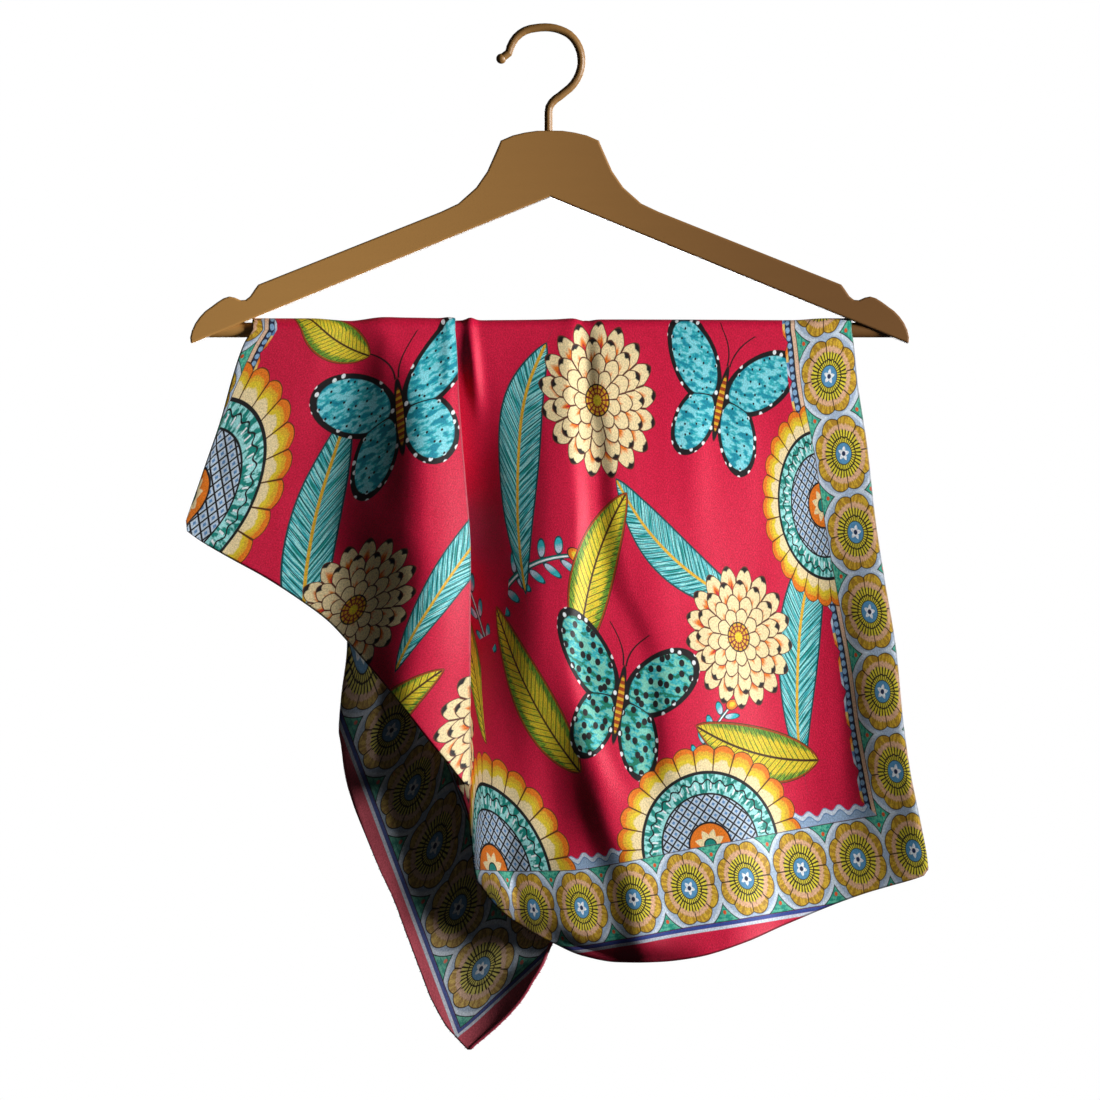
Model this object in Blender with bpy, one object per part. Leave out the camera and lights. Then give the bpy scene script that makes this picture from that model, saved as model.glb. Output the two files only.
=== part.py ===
"""Silk square scarf hung over the trouser bar of a flat wooden hanger.

Lengths are metres, +Z is up, the front of the hanger looks along -Y. The origin is the
top of the inside of the hook's bend, where a rail would touch it. The cloth is a
wall 1 mm thick, and each stretch of it that shows is an object of its own.
"""

import math

import bmesh
import bpy
import numpy as np
from mathutils import Matrix, Vector

MM = 0.001
GAP = 0.3 * MM
SEAM = 0.7 * MM
SLOPE_SEAM = 1.3 * MM

# Hanger body, sizes from the centre line outward.
CENTRE_X = 2.7 * MM
BODY_THICK = 13.0 * MM
BODY_BEVEL = 1.2 * MM
NECK_TOP_Z = -61.8 * MM
UNDERSIDE_APEX_Z = -102.7 * MM

# Upper outline of one arm: distance from the centre line and height, in millimetres.
ARM_OUTLINE = (
    # out, height
    (8.0, -61.9),
    (15.5, -63.0),
    (23.0, -64.8),
    (30.4, -68.0),
    (32.2, -72.3),
    (34.4, -77.3),
    (38.8, -87.2),
    (45.6, -97.1),
    (56.7, -107.0),
    (67.3, -112.0),
    (92.1, -121.9),
    (180.6, -157.2),
    (182.8, -160.2),
    (185.6, -164.4),
    (188.4, -166.6),
    (191.4, -166.8),
    (195.0, -165.2),
    (198.4, -164.5),
    (202.0, -165.6),
    (205.8, -168.0),
    (209.4, -170.7),
    (213.4, -173.6),
    (216.8, -177.2),
    (219.6, -181.2),
    (221.7, -185.8),
    (222.7, -190.0),
    (222.3, -193.8),
)

# Trouser bar.
BAR_Z = -185.1 * MM
BAR_RADIUS = 4.65 * MM
BAR_HALF = 218.0 * MM

# Hook wire: the bend by angle from its middle, then the neck and the stem, in millimetres.
WIRE_RADIUS = 2.55 * MM
BALL_RADIUS = 3.2 * MM
HOOK_MIDDLE = (0.1, -17.7)
HOOK_BEND = (
    # degrees, distance of the wire's centre line
    (-58.0, 23.1),
    (-20.0, 22.5),
    (20.0, 22.0),
    (45.0, 21.6),
    (65.0, 20.7),
    (90.0, 20.25),
    (105.0, 20.6),
    (125.0, 22.2),
    (145.0, 23.1),
    (169.0, 23.3),
)
HOOK_STEPS = 26
HOOK_BALL = (-27.4, -16.9)
HOOK_NECK = ((8.9, -40.1), (6.3, -41.9), (4.0, -44.2), (2.4, -47.0), (1.9, -50.0))
STEM_X = 1.9 * MM
STEM_FOOT_Z = -88.0 * MM

# Cloth.
CLOTH = 1.0 * MM
LAYER = CLOTH + GAP
BAR_WRAP = BAR_RADIUS + GAP + CLOTH / 2
WRAP_ROWS = 8
TURN_RADIUS = 1.7 * MM
BEND_CELLS = 6
TURN_TOP = -190.6
STRIP_CELLS = 2
BOTTOM_MARGIN = 14.0 * MM
HEM_RADIUS = 1.1 * MM
HEM_TOP = -440.0

# Left stretch of the front drop. One row is one height: where its left edge, the start
# of the shaded slope, the crest and the pleat's edge are, and how far forward each is.
LEFT_SECTIONS = (
    # height, edge, band, crest, pleat, edge out, band out, crest out, pleat out
    (-185.1, -181.6, -106.0, -93.0, -56.0, 0.0, 0.0, 1.4, 1.4),
    (-194.4, -186.9, -120.0, -90.0, -55.1, 0.0, 0.4, 6.0, 3.6),
    (-216.1, -194.6, -124.0, -83.0, -53.9, 0.0, 1.0, 12.0, 6.0),
    (-240.9, -201.7, -124.0, -79.0, -52.3, 0.0, 2.0, 17.0, 8.0),
    (-276.9, -214.1, -127.0, -78.0, -49.2, 0.0, 3.5, 20.0, 9.0),
    (-307.9, -223.8, -130.0, -77.5, -46.7, 0.0, 5.0, 21.5, 10.0),
    (-316.0, -213.5, -131.0, -77.3, -46.2, 0.6, 5.6, 21.8, 10.2),
    (-325.2, -198.0, -133.0, -77.0, -46.1, 1.6, 6.4, 22.0, 10.5),
    (-338.9, -173.2, -132.5, -76.0, -46.1, 3.4, 7.4, 22.0, 10.5),
    (-352.5, -152.2, -130.0, -75.0, -46.1, 5.2, 8.4, 22.0, 10.5),
    (-366.0, -134.2, -119.0, -73.0, -46.1, 7.0, 9.4, 21.8, 10.4),
    (-379.8, -121.1, -108.0, -70.0, -46.1, 8.6, 10.6, 21.0, 10.0),
    (-408.3, -96.3, -88.0, -64.0, -46.3, 10.6, 12.0, 17.5, 9.5),
    (-445.5, -66.9, -62.0, -55.6, -46.4, 10.2, 10.8, 12.0, 9.0),
    (-466.0, -55.5, -50.6, -48.9, -46.5, 9.0, 9.1, 9.0, 8.4),
)
LEFT_COLUMNS = (4, 7, 6)
LEFT_ROWS = 23

# Right stretch of the front drop, in the same way. Its hidden edge lies under the pleat.
RIGHT_SECTIONS = (
    # height, hidden, valley, ridge, crease, flat, flare, edge, then how far out each is
    (-185.1, -64.0, -42.0, 23.9, 28.9, 41.3, 158.0, 187.2, 0.0, 0.0, 2.4, 0.3, 0.8, 0.4, 0.0),
    (-194.4, -63.0, -42.0, 23.3, 28.5, 41.3, 158.0, 188.6, 0.0, 0.4, 3.6, 1.0, 1.6, 0.5, 0.6),
    (-216.1, -62.0, -42.0, 22.1, 29.5, 43.2, 158.0, 190.8, 0.0, 0.8, 5.4, 1.2, 2.6, 0.8, 1.4),
    (-259.5, -60.0, -42.0, 22.1, 33.9, 46.3, 160.5, 197.2, 0.0, 1.0, 8.6, 2.4, 4.6, 0.8, 3.0),
    (-302.9, -58.0, -41.0, 23.3, 35.1, 49.4, 162.5, 202.0, 0.0, 1.0, 11.6, 4.6, 7.0, 0.8, 5.6),
    (-340.1, -57.5, -39.0, 20.2, 41.3, 57.0, 163.0, 207.6, 0.0, 1.0, 13.0, 6.2, 8.8, 0.8, 9.0),
    (-383.5, -57.0, -37.0, 17.1, 62.0, 76.0, 163.5, 214.6, 0.0, 1.2, 14.2, 7.2, 9.8, 1.0, 13.0),
    (-426.9, -57.0, -36.0, 21.5, 69.2, 80.4, 165.0, 218.8, 0.0, 1.2, 15.0, 8.6, 10.4, 1.6, 16.0),
    (-457.9, -57.0, -36.0, 32.0, 68.0, 83.4, 165.3, 223.0, 0.0, 0.6, 14.4, 10.2, 11.0, 2.4, 18.0),
    (-488.9, -57.0, -36.0, 45.0, 71.0, 86.5, 165.3, 229.2, 0.0, 0.2, 14.4, 11.6, 11.6, 3.2, 19.0),
    (-526.1, -47.0, -26.0, 58.6, 78.5, 92.8, 167.2, 233.6, 0.0, 0.0, 15.0, 12.6, 12.2, 4.2, 19.0),
    (-578.0, -47.0, -20.0, 64.8, 84.0, 98.0, 169.0, 233.6, 0.0, 0.0, 15.0, 12.8, 12.4, 4.2, 19.0),
)
RIGHT_COLUMNS = (1, 5, 3, 2, 5, 5)
RIGHT_ROWS = 23

# Lower outline of the right stretch, from under the pleat round to its right corner.
LOWER_OUTLINE = (
    # across, height
    (-57.0, -462.0),
    (-50.5, -474.0),
    (-46.9, -485.8),
    (-44.8, -507.0),
    (-42.3, -524.0),
    (-37.4, -530.5),
    (-30.6, -539.2),
    (-16.4, -550.9),
    (5.3, -562.8),
    (23.3, -570.6),
    (46.3, -574.6),
    (71.0, -573.8),
    (92.8, -570.9),
    (123.8, -561.4),
    (147.3, -551.4),
    (198.2, -531.2),
    (206.0, -528.4),
    (211.0, -527.8),
    (229.2, -523.4),
    (233.8, -520.6),
)

# Back drop: its two sides at each height.
BACK_SECTIONS = (
    # height, left side, right side
    (-185.1, -181.6, 187.2),
    (-300.0, -136.0, 129.4),
    (-340.0, -124.0, 109.2),
    (-379.8, -121.3, 89.2),
    (-414.5, -125.2, 71.7),
    (-434.0, -126.6, 61.9),
    (-442.0, -125.4, 58.4),
    (-459.0, -123.2, 51.0),
    (-479.0, -118.2, 42.5),
    (-499.0, -111.4, 34.0),
    (-519.0, -103.3, 25.5),
    (-539.0, -94.0, 16.0),
    (-559.0, -86.6, 6.6),
    (-568.3, -83.0, 2.2),
    (-578.5, -79.2, -2.0),
    (-588.0, -75.5, -7.8),
    (-598.0, -71.7, -13.6),
    (-608.0, -66.6, -21.6),
    (-618.0, -60.6, -31.6),
    (-624.5, -54.4, -38.8),
    (-629.2, -49.6, -44.6),
)
BACK_COLUMNS = 14
BACK_ROWS = 23
BACK_LIFT = 2.4 * MM

# Gathers of the back drop run from the bar toward the lower corner.
BACK_GATHERS = (
    # across at the bar, across at the foot, half width at the bar, half width below, depth
    (-118.0, -80.0, 30.0, 16.0, 9.0),
    (-22.0, -58.0, 34.0, 15.0, 12.0),
    (96.0, -40.0, 36.0, 14.0, 10.0),
)


def remove_all():
    """Empties the file."""
    for old in list(bpy.data.objects):
        bpy.data.objects.remove(old, do_unlink=True)


def make_material(name, colour, metallic, roughness):
    """A Principled material of one plain colour."""
    material = bpy.data.materials.new(name)
    material.use_nodes = True
    shader = material.node_tree.nodes["Principled BSDF"]
    shader.inputs["Base Color"].default_value = (*colour, 1.0)
    shader.inputs["Metallic"].default_value = metallic
    shader.inputs["Roughness"].default_value = roughness
    material.diffuse_color = (*colour, 1.0)
    return material


def add_object(name, mesh, material):
    """Links a mesh to the scene as one named object."""
    mesh.materials.append(material)
    item = bpy.data.objects.new(name, mesh)
    bpy.context.scene.collection.objects.link(item)
    return item


def smooth_through(places, values, at):
    """A smooth curve through the points of a table that never overshoots them."""
    places = np.asarray(places, dtype=float)
    values = np.asarray(values, dtype=float)
    at = np.clip(np.asarray(at, dtype=float), places[0], places[-1])
    steps = np.diff(places)
    slopes = np.diff(values) / steps
    tangents = np.zeros(len(places))
    for i in range(1, len(places) - 1):
        if slopes[i - 1] * slopes[i] > 0:
            before = 2 * steps[i] + steps[i - 1]
            after = steps[i] + 2 * steps[i - 1]
            tangents[i] = (before + after) / (before / slopes[i - 1] + after / slopes[i])
    tangents[0] = slopes[0]
    tangents[-1] = slopes[-1]
    cell = np.clip(np.searchsorted(places, at, side="right") - 1, 0, len(steps) - 1)
    span = steps[cell]
    t = (at - places[cell]) / span
    start = (1 + 2 * t) * (1 - t) ** 2 * values[cell] + t * (1 - t) ** 2 * span * tangents[cell]
    finish = t * t * (3 - 2 * t) * values[cell + 1] - t * t * (1 - t) * span * tangents[cell + 1]
    return start + finish


def section_at(table, height):
    """One row of a table of sections at any height, all in millimetres."""
    rows = np.asarray(table, dtype=float)[::-1]
    return [float(smooth_through(rows[:, 0], rows[:, k], height)) for k in range(1, rows.shape[1])]


def line_at(table, height):
    """As section_at, with straight lines between the rows, for outlines with corners."""
    rows = np.asarray(table, dtype=float)[::-1]
    return [float(np.interp(height, rows[:, 0], rows[:, k])) for k in range(1, rows.shape[1])]


def spread(marks, counts):
    """Places between neighbouring marks, so many cells to each stretch."""
    places = [marks[0]]
    for k, count in enumerate(counts):
        for i in range(1, count + 1):
            places.append(marks[k] + (marks[k + 1] - marks[k]) * i / count)
    return places


def wall(name, rows, material, thickness):
    """A closed wall of even thickness on a grid of points."""
    mesh = bpy.data.meshes.new(name)
    across = len(rows[0])
    points = [tuple(point) for row in rows for point in row]
    faces = []
    for r in range(len(rows) - 1):
        for c in range(across - 1):
            corner = r * across + c
            faces.append((corner, corner + 1, corner + across + 1, corner + across))
    mesh.from_pydata(points, [], faces)
    mesh.validate()
    item = add_object(name, mesh, material)
    mesh.shade_smooth()
    thick = item.modifiers.new("thickness", "SOLIDIFY")
    thick.thickness = thickness
    thick.offset = 0.0
    thick.use_even_offset = True
    thick.use_quality_normals = True
    return item


def over_bar(across, out, angle):
    """A point of the cloth's turn over the bar; angle 0 is the front, pi the back."""
    radius = BAR_WRAP + out
    return (across, -radius * math.cos(angle), BAR_Z + radius * math.sin(angle))


def left_depth(across, height):
    """How far the left stretch stands forward of its hanging line."""
    cut = section_at(LEFT_SECTIONS, height / MM)
    edge = line_at(LEFT_SECTIONS, height / MM)[0]
    marks = [min(edge, cut[1] - 1.0), cut[1], cut[2], cut[3]]
    return float(smooth_through(marks, cut[4:8], across / MM)) * MM


def right_depth(across, height):
    """How far the right stretch stands forward of its hanging line."""
    cut = section_at(RIGHT_SECTIONS, height / MM)
    return float(smooth_through(cut[0:7], cut[7:14], across / MM)) * MM


def lower_edge(across):
    """Height of the lower outline of the right stretch."""
    rows = np.asarray(LOWER_OUTLINE, dtype=float)
    return float(np.interp(across / MM, rows[:, 0], rows[:, 1])) * MM


def wrap_angles():
    """Angles of the rows that turn over the bar, from the back to the front."""
    return [math.pi * (1 - k / WRAP_ROWS) for k in range(WRAP_ROWS)]


def left_heights():
    """Heights of the left stretch's rows; one of them passes through its lower left corner."""
    heights = np.linspace(TURN_TOP, LEFT_SECTIONS[-1][0], LEFT_ROWS)
    corner = LEFT_SECTIONS[5][0]
    heights[np.argmin(abs(heights - corner))] = corner
    return [BAR_Z / MM] + list(heights)


def build_front_left(material):
    """Left stretch of the front drop with its turn over the bar."""
    rows = []
    for height in left_heights():
        cut = section_at(LEFT_SECTIONS, height)
        cut[0] = line_at(LEFT_SECTIONS, height)[0]
        seam = SEAM if height > LEFT_SECTIONS[5][0] else SLOPE_SEAM
        low = 0.0 if height > TURN_TOP else (TURN_RADIUS + seam) / MM
        marks = [cut[0] + low, cut[1], cut[2], cut[3]]
        row = []
        for across in spread(marks, LEFT_COLUMNS):
            out = left_depth(across * MM, height * MM)
            row.append((across * MM, -BAR_WRAP - out, height * MM))
        rows.append(row)
    top = rows[0]
    wrap = []
    for angle in wrap_angles():
        wrap.append([over_bar(x, -y - BAR_WRAP, angle) for x, y, _ in top])
    return wall("scarf_front_left", wrap + rows, material, CLOTH)


def right_grid():
    """Points of the right stretch below the bar: across and height."""
    rows = []
    for r in range(RIGHT_ROWS + 1):
        down = r / RIGHT_ROWS
        places = None
        heights = [BAR_Z - down * (BAR_Z - lower_edge(0.0))] * (sum(RIGHT_COLUMNS) + 1)
        for _ in range(6):
            places = []
            for c, height in enumerate(heights):
                cut = section_at(RIGHT_SECTIONS, height / MM)[0:7]
                places.append(spread(cut, RIGHT_COLUMNS)[c] * MM)
            ends = [lower_edge(x) for x in places]
            heights = [BAR_Z + down * (end - BAR_Z) for end in ends]
        rows.append(list(zip(places, heights)))
    return rows


def build_front_right(material):
    """Right stretch of the front drop with its turn over the bar."""
    rows = []
    for row in right_grid():
        rows.append([(x, -BAR_WRAP - right_depth(x, z), z) for x, z in row])
    top = rows[0]
    wrap = []
    for angle in wrap_angles():
        wrap.append([over_bar(x, -y - BAR_WRAP, angle) for x, y, _ in top])
    return wall("scarf_front_right", wrap + rows, material, CLOTH)


def build_pleat_turn(material):
    """The hidden layer that joins the pleat's edge to the right stretch."""
    rows = []
    for height in np.linspace(-198.0, -470.0, 18):
        pleat = section_at(LEFT_SECTIONS, height)[3] * MM
        hidden = section_at(RIGHT_SECTIONS, height)[0] * MM
        front = -BAR_WRAP - left_depth(pleat, height * MM) + LAYER
        back = -BAR_WRAP - right_depth(hidden, height * MM) - LAYER
        row = []
        for k in range(4):
            part = k / 3
            across = pleat - 0.8 * MM + (hidden + 1.6 * MM - pleat) * part
            row.append((across, front + (back - front) * part, height * MM))
        rows.append(row)
    return wall("scarf_pleat_turn", rows, material, CLOTH)


def turned_row(edge, side, depth_of, width, height):
    """One level row of a folded edge: the bend, then the strip that follows the drop."""
    start = -BAR_WRAP - depth_of(edge + side * TURN_RADIUS, height)
    row = []
    for k in range(BEND_CELLS + 1):
        angle = math.pi * k / BEND_CELLS
        bend = TURN_RADIUS * (1 - math.sin(angle))
        row.append((edge + side * bend, start + TURN_RADIUS * (1 - math.cos(angle)), height))
    for k in range(1, STRIP_CELLS + 1):
        across = edge + side * (TURN_RADIUS + width * k / STRIP_CELLS)
        row.append((across, -BAR_WRAP - depth_of(across, height) + 2 * TURN_RADIUS, height))
    return row


def build_left_turn(material):
    """Strip turned under along the left side and the lower left slope."""
    rows = []
    for height in left_heights()[1:]:
        edge = line_at(LEFT_SECTIONS, height)[0] * MM
        room = section_at(RIGHT_SECTIONS, height)[0] * MM - edge - 5.0 * MM
        width = min(46.0 * MM, (18.0 + (TURN_TOP - height) * 0.7) * MM, room)
        if width > 3.0 * MM:
            rows.append(turned_row(edge, 1.0, left_depth, width, height * MM))
    return wall("scarf_left_turn", rows, material, CLOTH)


def build_right_turn(material):
    """Strip turned under along the right side."""
    rows = []
    for height in np.linspace(TURN_TOP, -516.0, 22):
        edge = section_at(RIGHT_SECTIONS, height)[6] * MM + TURN_RADIUS + SEAM
        width = min(26.0, 10.0 + (TURN_TOP - height) * 0.5) * MM
        rows.append(turned_row(edge, -1.0, right_depth, width, height * MM))
    return wall("scarf_right_turn", rows, material, CLOTH)


def build_bottom_turn(material):
    """Margin turned up behind the bottom edge."""
    rows = []
    for across in np.linspace(-8.0, 203.0, 22):
        x = across * MM
        margin = min(BOTTOM_MARGIN, (208.0 - across) * MM)
        edge = lower_edge(x) - SEAM
        start = -BAR_WRAP - right_depth(x, edge)
        row = []
        for k in range(BEND_CELLS + 1):
            angle = math.pi * k / BEND_CELLS
            drop = TURN_RADIUS * math.sin(angle)
            row.append((x, start + TURN_RADIUS * (1 - math.cos(angle)), edge - drop))
        for k in range(1, 3):
            up = edge + margin * k / 2
            row.append((x, -BAR_WRAP - right_depth(x, up) + 2 * TURN_RADIUS, up))
        rows.append(row)
    return wall("scarf_bottom_turn", rows, material, CLOTH)


def back_depth(across, height):
    """How far the back drop stands behind the bar's centre line."""
    fall = (BAR_Z - height) / MM
    grow = 1 - math.exp(-fall / 90.0)
    foot = min(1.0, fall / 447.0)
    waves = 0.0
    for top, low, top_half, low_half, depth in BACK_GATHERS:
        middle = top + (low - top) * foot
        half = top_half + (low_half - top_half) * foot
        waves += depth * math.exp(-(((across / MM - middle) / half) ** 2))
    fade = 1.0 - 0.72 * foot
    return BAR_WRAP + (waves * grow * fade) * MM + BACK_LIFT * math.sin(math.pi * foot)


def back_rows():
    """Points of the back drop and, row by row, its two sides."""
    rows = []
    for height in np.linspace(BAR_Z / MM - 0.9, BACK_SECTIONS[-1][0], BACK_ROWS + 1):
        left, right = section_at(BACK_SECTIONS, height)
        row = []
        for c in range(BACK_COLUMNS + 1):
            across = (left + (right - left) * c / BACK_COLUMNS) * MM
            row.append((across, back_depth(across, height * MM), height * MM))
        rows.append(row)
    return rows


def build_back_drop(material):
    """Back drop, from the bar down to the corner of the square."""
    return wall("scarf_back_drop", back_rows(), material, CLOTH)


def build_back_hem(material):
    """Rolled hem round the corner: up the short left side and the whole right side."""
    rows = back_rows()
    left = [Vector(row[0]) for row in rows if row[0][2] < HEM_TOP * MM]
    right = [Vector(row[-1]) for row in rows if row[-1][2] < TURN_TOP * MM]
    path = left + right[::-1]
    mesh = bpy.data.meshes.new("scarf_back_hem")
    shape = bmesh.new()
    rings = []
    sides = 8
    for k, point in enumerate(path):
        before = path[max(k - 1, 0)]
        after = path[min(k + 1, len(path) - 1)]
        along = (after - before).normalized()
        away = Vector((along.z, 0.0, -along.x)).normalized()
        centre = point + away * (HEM_RADIUS + GAP)
        lift = along.cross(away).normalized()
        ring = []
        for s in range(sides):
            turn = 2 * math.pi * s / sides
            place = centre + (away * math.cos(turn) + lift * math.sin(turn)) * HEM_RADIUS
            ring.append(shape.verts.new(place))
        rings.append(ring)
    for ring, following in zip(rings, rings[1:]):
        for s in range(sides):
            shape.faces.new((ring[s], ring[(s + 1) % sides],
                             following[(s + 1) % sides], following[s]))
    shape.faces.new(rings[0][::-1])
    shape.faces.new(rings[-1])
    bmesh.ops.recalc_face_normals(shape, faces=shape.faces)
    shape.to_mesh(mesh)
    shape.free()
    mesh.shade_smooth()
    return add_object("scarf_back_hem", mesh, material)


def build_body(material):
    """Flat shaped hanger body, with sockets for the bar and the hook's stem."""
    arm = [(out, height) for out, height in ARM_OUTLINE]
    right = [(CENTRE_X + out * MM, height * MM) for out, height in arm]
    left = [(CENTRE_X - out * MM, height * MM) for out, height in arm]
    outline = [(CENTRE_X, NECK_TOP_Z)] + right + [(CENTRE_X, UNDERSIDE_APEX_Z)] + left[::-1]
    mesh = bpy.data.meshes.new("hanger_body")
    shape = bmesh.new()
    front = [shape.verts.new((x, -BODY_THICK / 2, z)) for x, z in outline]
    back = [shape.verts.new((x, BODY_THICK / 2, z)) for x, z in outline]
    count = len(outline)
    for k in range(count):
        shape.faces.new((front[k], front[(k + 1) % count], back[(k + 1) % count], back[k]))
    shape.faces.new(front[::-1])
    shape.faces.new(back)
    bmesh.ops.recalc_face_normals(shape, faces=shape.faces)
    shape.to_mesh(mesh)
    shape.free()
    body = add_object("hanger_body", mesh, material)
    mesh.shade_smooth()
    mesh.set_sharp_from_angle(angle=math.radians(35))
    bevel = body.modifiers.new("rounded_edges", "BEVEL")
    bevel.width = BODY_BEVEL
    bevel.segments = 3
    bevel.limit_method = "ANGLE"
    bevel.angle_limit = math.radians(60)
    bar_hole = BAR_RADIUS + GAP
    bar_cutter = round_rod("cut_bar", BAR_HALF + GAP, bar_hole, 48)
    bar_cutter.location = (CENTRE_X, 0.0, BAR_Z)
    bar_cutter.rotation_euler = (0.0, math.pi / 2, 0.0)
    stem_cutter = round_rod("cut_stem", 0.5 * (0.01 + NECK_TOP_Z - STEM_FOOT_Z) + GAP,
                            WIRE_RADIUS + GAP, 32)
    stem_cutter.location = (STEM_X, 0.0, 0.5 * (STEM_FOOT_Z + NECK_TOP_Z + 0.01))
    for cutter in (bar_cutter, stem_cutter):
        cutter.hide_render = True
        cutter.display_type = "WIRE"
        cut = body.modifiers.new(cutter.name, "BOOLEAN")
        cut.operation = "DIFFERENCE"
        cut.solver = "EXACT"
        cut.object = cutter
    return body


def round_rod(name, half_length, radius, sides):
    """A closed rod along Z, centred on its origin."""
    mesh = bpy.data.meshes.new(name)
    shape = bmesh.new()
    bmesh.ops.create_cone(shape, cap_ends=True, cap_tris=False, segments=sides,
                          radius1=radius, radius2=radius, depth=2 * half_length)
    shape.to_mesh(mesh)
    shape.free()
    mesh.shade_smooth()
    mesh.set_sharp_from_angle(angle=math.radians(35))
    item = bpy.data.objects.new(name, mesh)
    bpy.context.scene.collection.objects.link(item)
    return item


def build_bar(material):
    """Round trouser bar."""
    bar = round_rod("hanger_bar", BAR_HALF, BAR_RADIUS, 48)
    bar.data.materials.append(material)
    bar.data.transform(bar_place())
    return bar


def bar_place():
    """Turns a rod along X and sets it at the bar's height."""
    return Matrix.Translation((CENTRE_X, 0.0, BAR_Z)) @ Matrix.Rotation(math.pi / 2, 4, "Y")


def hook_path():
    """Centre line of the hook wire from its ball end to the foot of the stem."""
    path = [HOOK_BALL]
    angles = [row[0] for row in HOOK_BEND]
    reaches = [row[1] for row in HOOK_BEND]
    for k in range(HOOK_STEPS + 1):
        degrees = angles[-1] + (angles[0] - angles[-1]) * k / HOOK_STEPS
        reach = float(smooth_through(angles, reaches, degrees))
        turn = math.radians(degrees)
        path.append((HOOK_MIDDLE[0] + reach * math.cos(turn),
                     HOOK_MIDDLE[1] + reach * math.sin(turn)))
    path += HOOK_NECK
    path += [(STEM_X / MM, z / MM) for z in (NECK_TOP_Z, STEM_FOOT_Z)]
    return [Vector((x * MM, 0.0, z * MM)) for x, z in path]


def build_hook(material):
    """Bent wire hook with a ball end."""
    mesh = bpy.data.meshes.new("hanger_hook")
    shape = bmesh.new()
    path = hook_path()
    sides = 20
    rings = []
    for k, point in enumerate(path):
        before = path[max(k - 1, 0)]
        after = path[min(k + 1, len(path) - 1)]
        along = (after - before).normalized()
        away = Vector((along.z, 0.0, -along.x))
        ring = []
        for s in range(sides):
            turn = 2 * math.pi * s / sides
            place = point + (away * math.cos(turn) + Vector((0, 1, 0)) * math.sin(turn)) * WIRE_RADIUS
            ring.append(shape.verts.new(place))
        rings.append(ring)
    for ring, following in zip(rings, rings[1:]):
        for s in range(sides):
            shape.faces.new((ring[s], ring[(s + 1) % sides],
                             following[(s + 1) % sides], following[s]))
    shape.faces.new(rings[0][::-1])
    shape.faces.new(rings[-1])
    bmesh.ops.recalc_face_normals(shape, faces=shape.faces)
    shape.to_mesh(mesh)
    shape.free()
    mesh.shade_smooth()
    hook = add_object("hanger_hook", mesh, material)
    ball_mesh = bpy.data.meshes.new("hook_ball")
    ball_shape = bmesh.new()
    bmesh.ops.create_uvsphere(ball_shape, u_segments=24, v_segments=16, radius=BALL_RADIUS)
    bmesh.ops.translate(ball_shape, verts=ball_shape.verts, vec=path[0])
    ball_shape.to_mesh(ball_mesh)
    ball_shape.free()
    ball_mesh.shade_smooth()
    ball = bpy.data.objects.new("join_ball", ball_mesh)
    bpy.context.scene.collection.objects.link(ball)
    ball.hide_render = True
    ball.display_type = "WIRE"
    join = hook.modifiers.new("ball_end", "BOOLEAN")
    join.operation = "UNION"
    join.solver = "EXACT"
    join.object = ball
    return hook


remove_all()

wood = make_material("hanger_wood", (0.27, 0.14, 0.055), 0.0, 0.42)
hook_metal = make_material("hook_metal", (0.30, 0.18, 0.08), 0.6, 0.38)
silk_face = make_material("silk_face", (0.62, 0.03, 0.09), 0.0, 0.45)
silk_reverse = make_material("silk_reverse", (0.45, 0.04, 0.09), 0.0, 0.5)

build_body(wood)
build_bar(wood)
build_hook(hook_metal)
build_front_left(silk_face)
build_front_right(silk_face)
build_pleat_turn(silk_face)
build_left_turn(silk_face)
build_right_turn(silk_face)
build_bottom_turn(silk_face)
build_back_drop(silk_reverse)
build_back_hem(silk_reverse)
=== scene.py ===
"""Looks of a printed silk square hung over the bar of a flat brown clothes hanger.

The silk's sizes are given in millimetres; the meshes and the studio are in metres.
The origin is the top of the inside of the hook's bend, +Z is up, the front looks along -Y.
"""
import math

import bmesh
import bpy
import numpy as np
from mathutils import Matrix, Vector, noise


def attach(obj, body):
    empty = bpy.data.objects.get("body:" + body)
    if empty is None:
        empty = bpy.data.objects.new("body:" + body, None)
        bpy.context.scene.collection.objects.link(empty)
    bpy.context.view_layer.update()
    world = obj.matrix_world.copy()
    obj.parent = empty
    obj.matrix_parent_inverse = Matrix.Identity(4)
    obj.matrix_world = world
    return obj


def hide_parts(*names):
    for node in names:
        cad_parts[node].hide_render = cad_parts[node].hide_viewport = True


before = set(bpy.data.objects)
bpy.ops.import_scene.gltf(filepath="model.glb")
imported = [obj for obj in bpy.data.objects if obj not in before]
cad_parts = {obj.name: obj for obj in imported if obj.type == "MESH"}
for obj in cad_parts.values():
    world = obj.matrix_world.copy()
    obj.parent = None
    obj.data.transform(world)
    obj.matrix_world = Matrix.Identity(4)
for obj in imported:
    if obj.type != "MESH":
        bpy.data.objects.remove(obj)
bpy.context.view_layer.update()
bpy.ops.object.select_all(action="DESELECT")


# ---- Hanger body -----------------------------------------------------------------------
# A flat board of beech, sawn to the shoulders' outline, its edges rounded over and the
# whole sprayed with a satin brown lacquer. The bar and the hook are let into it.

def srgb(red, green, blue):
    """A paint or dye colour given in 0 to 255, as the shaders want it."""
    tones = [c / 255 for c in (red, green, blue)]
    return tuple(t / 12.92 if t <= 0.04045 else ((t + 0.055) / 1.055) ** 2.4 for t in tones) + (1.0,)


def set_inputs(tree, node, inputs):
    """Gives a node its inputs by name: a socket is linked, anything else is set."""
    for name, value in inputs.items():
        if isinstance(value, bpy.types.NodeSocket):
            tree.links.new(value, node.inputs[name])
        else:
            node.inputs[name].default_value = value


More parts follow.
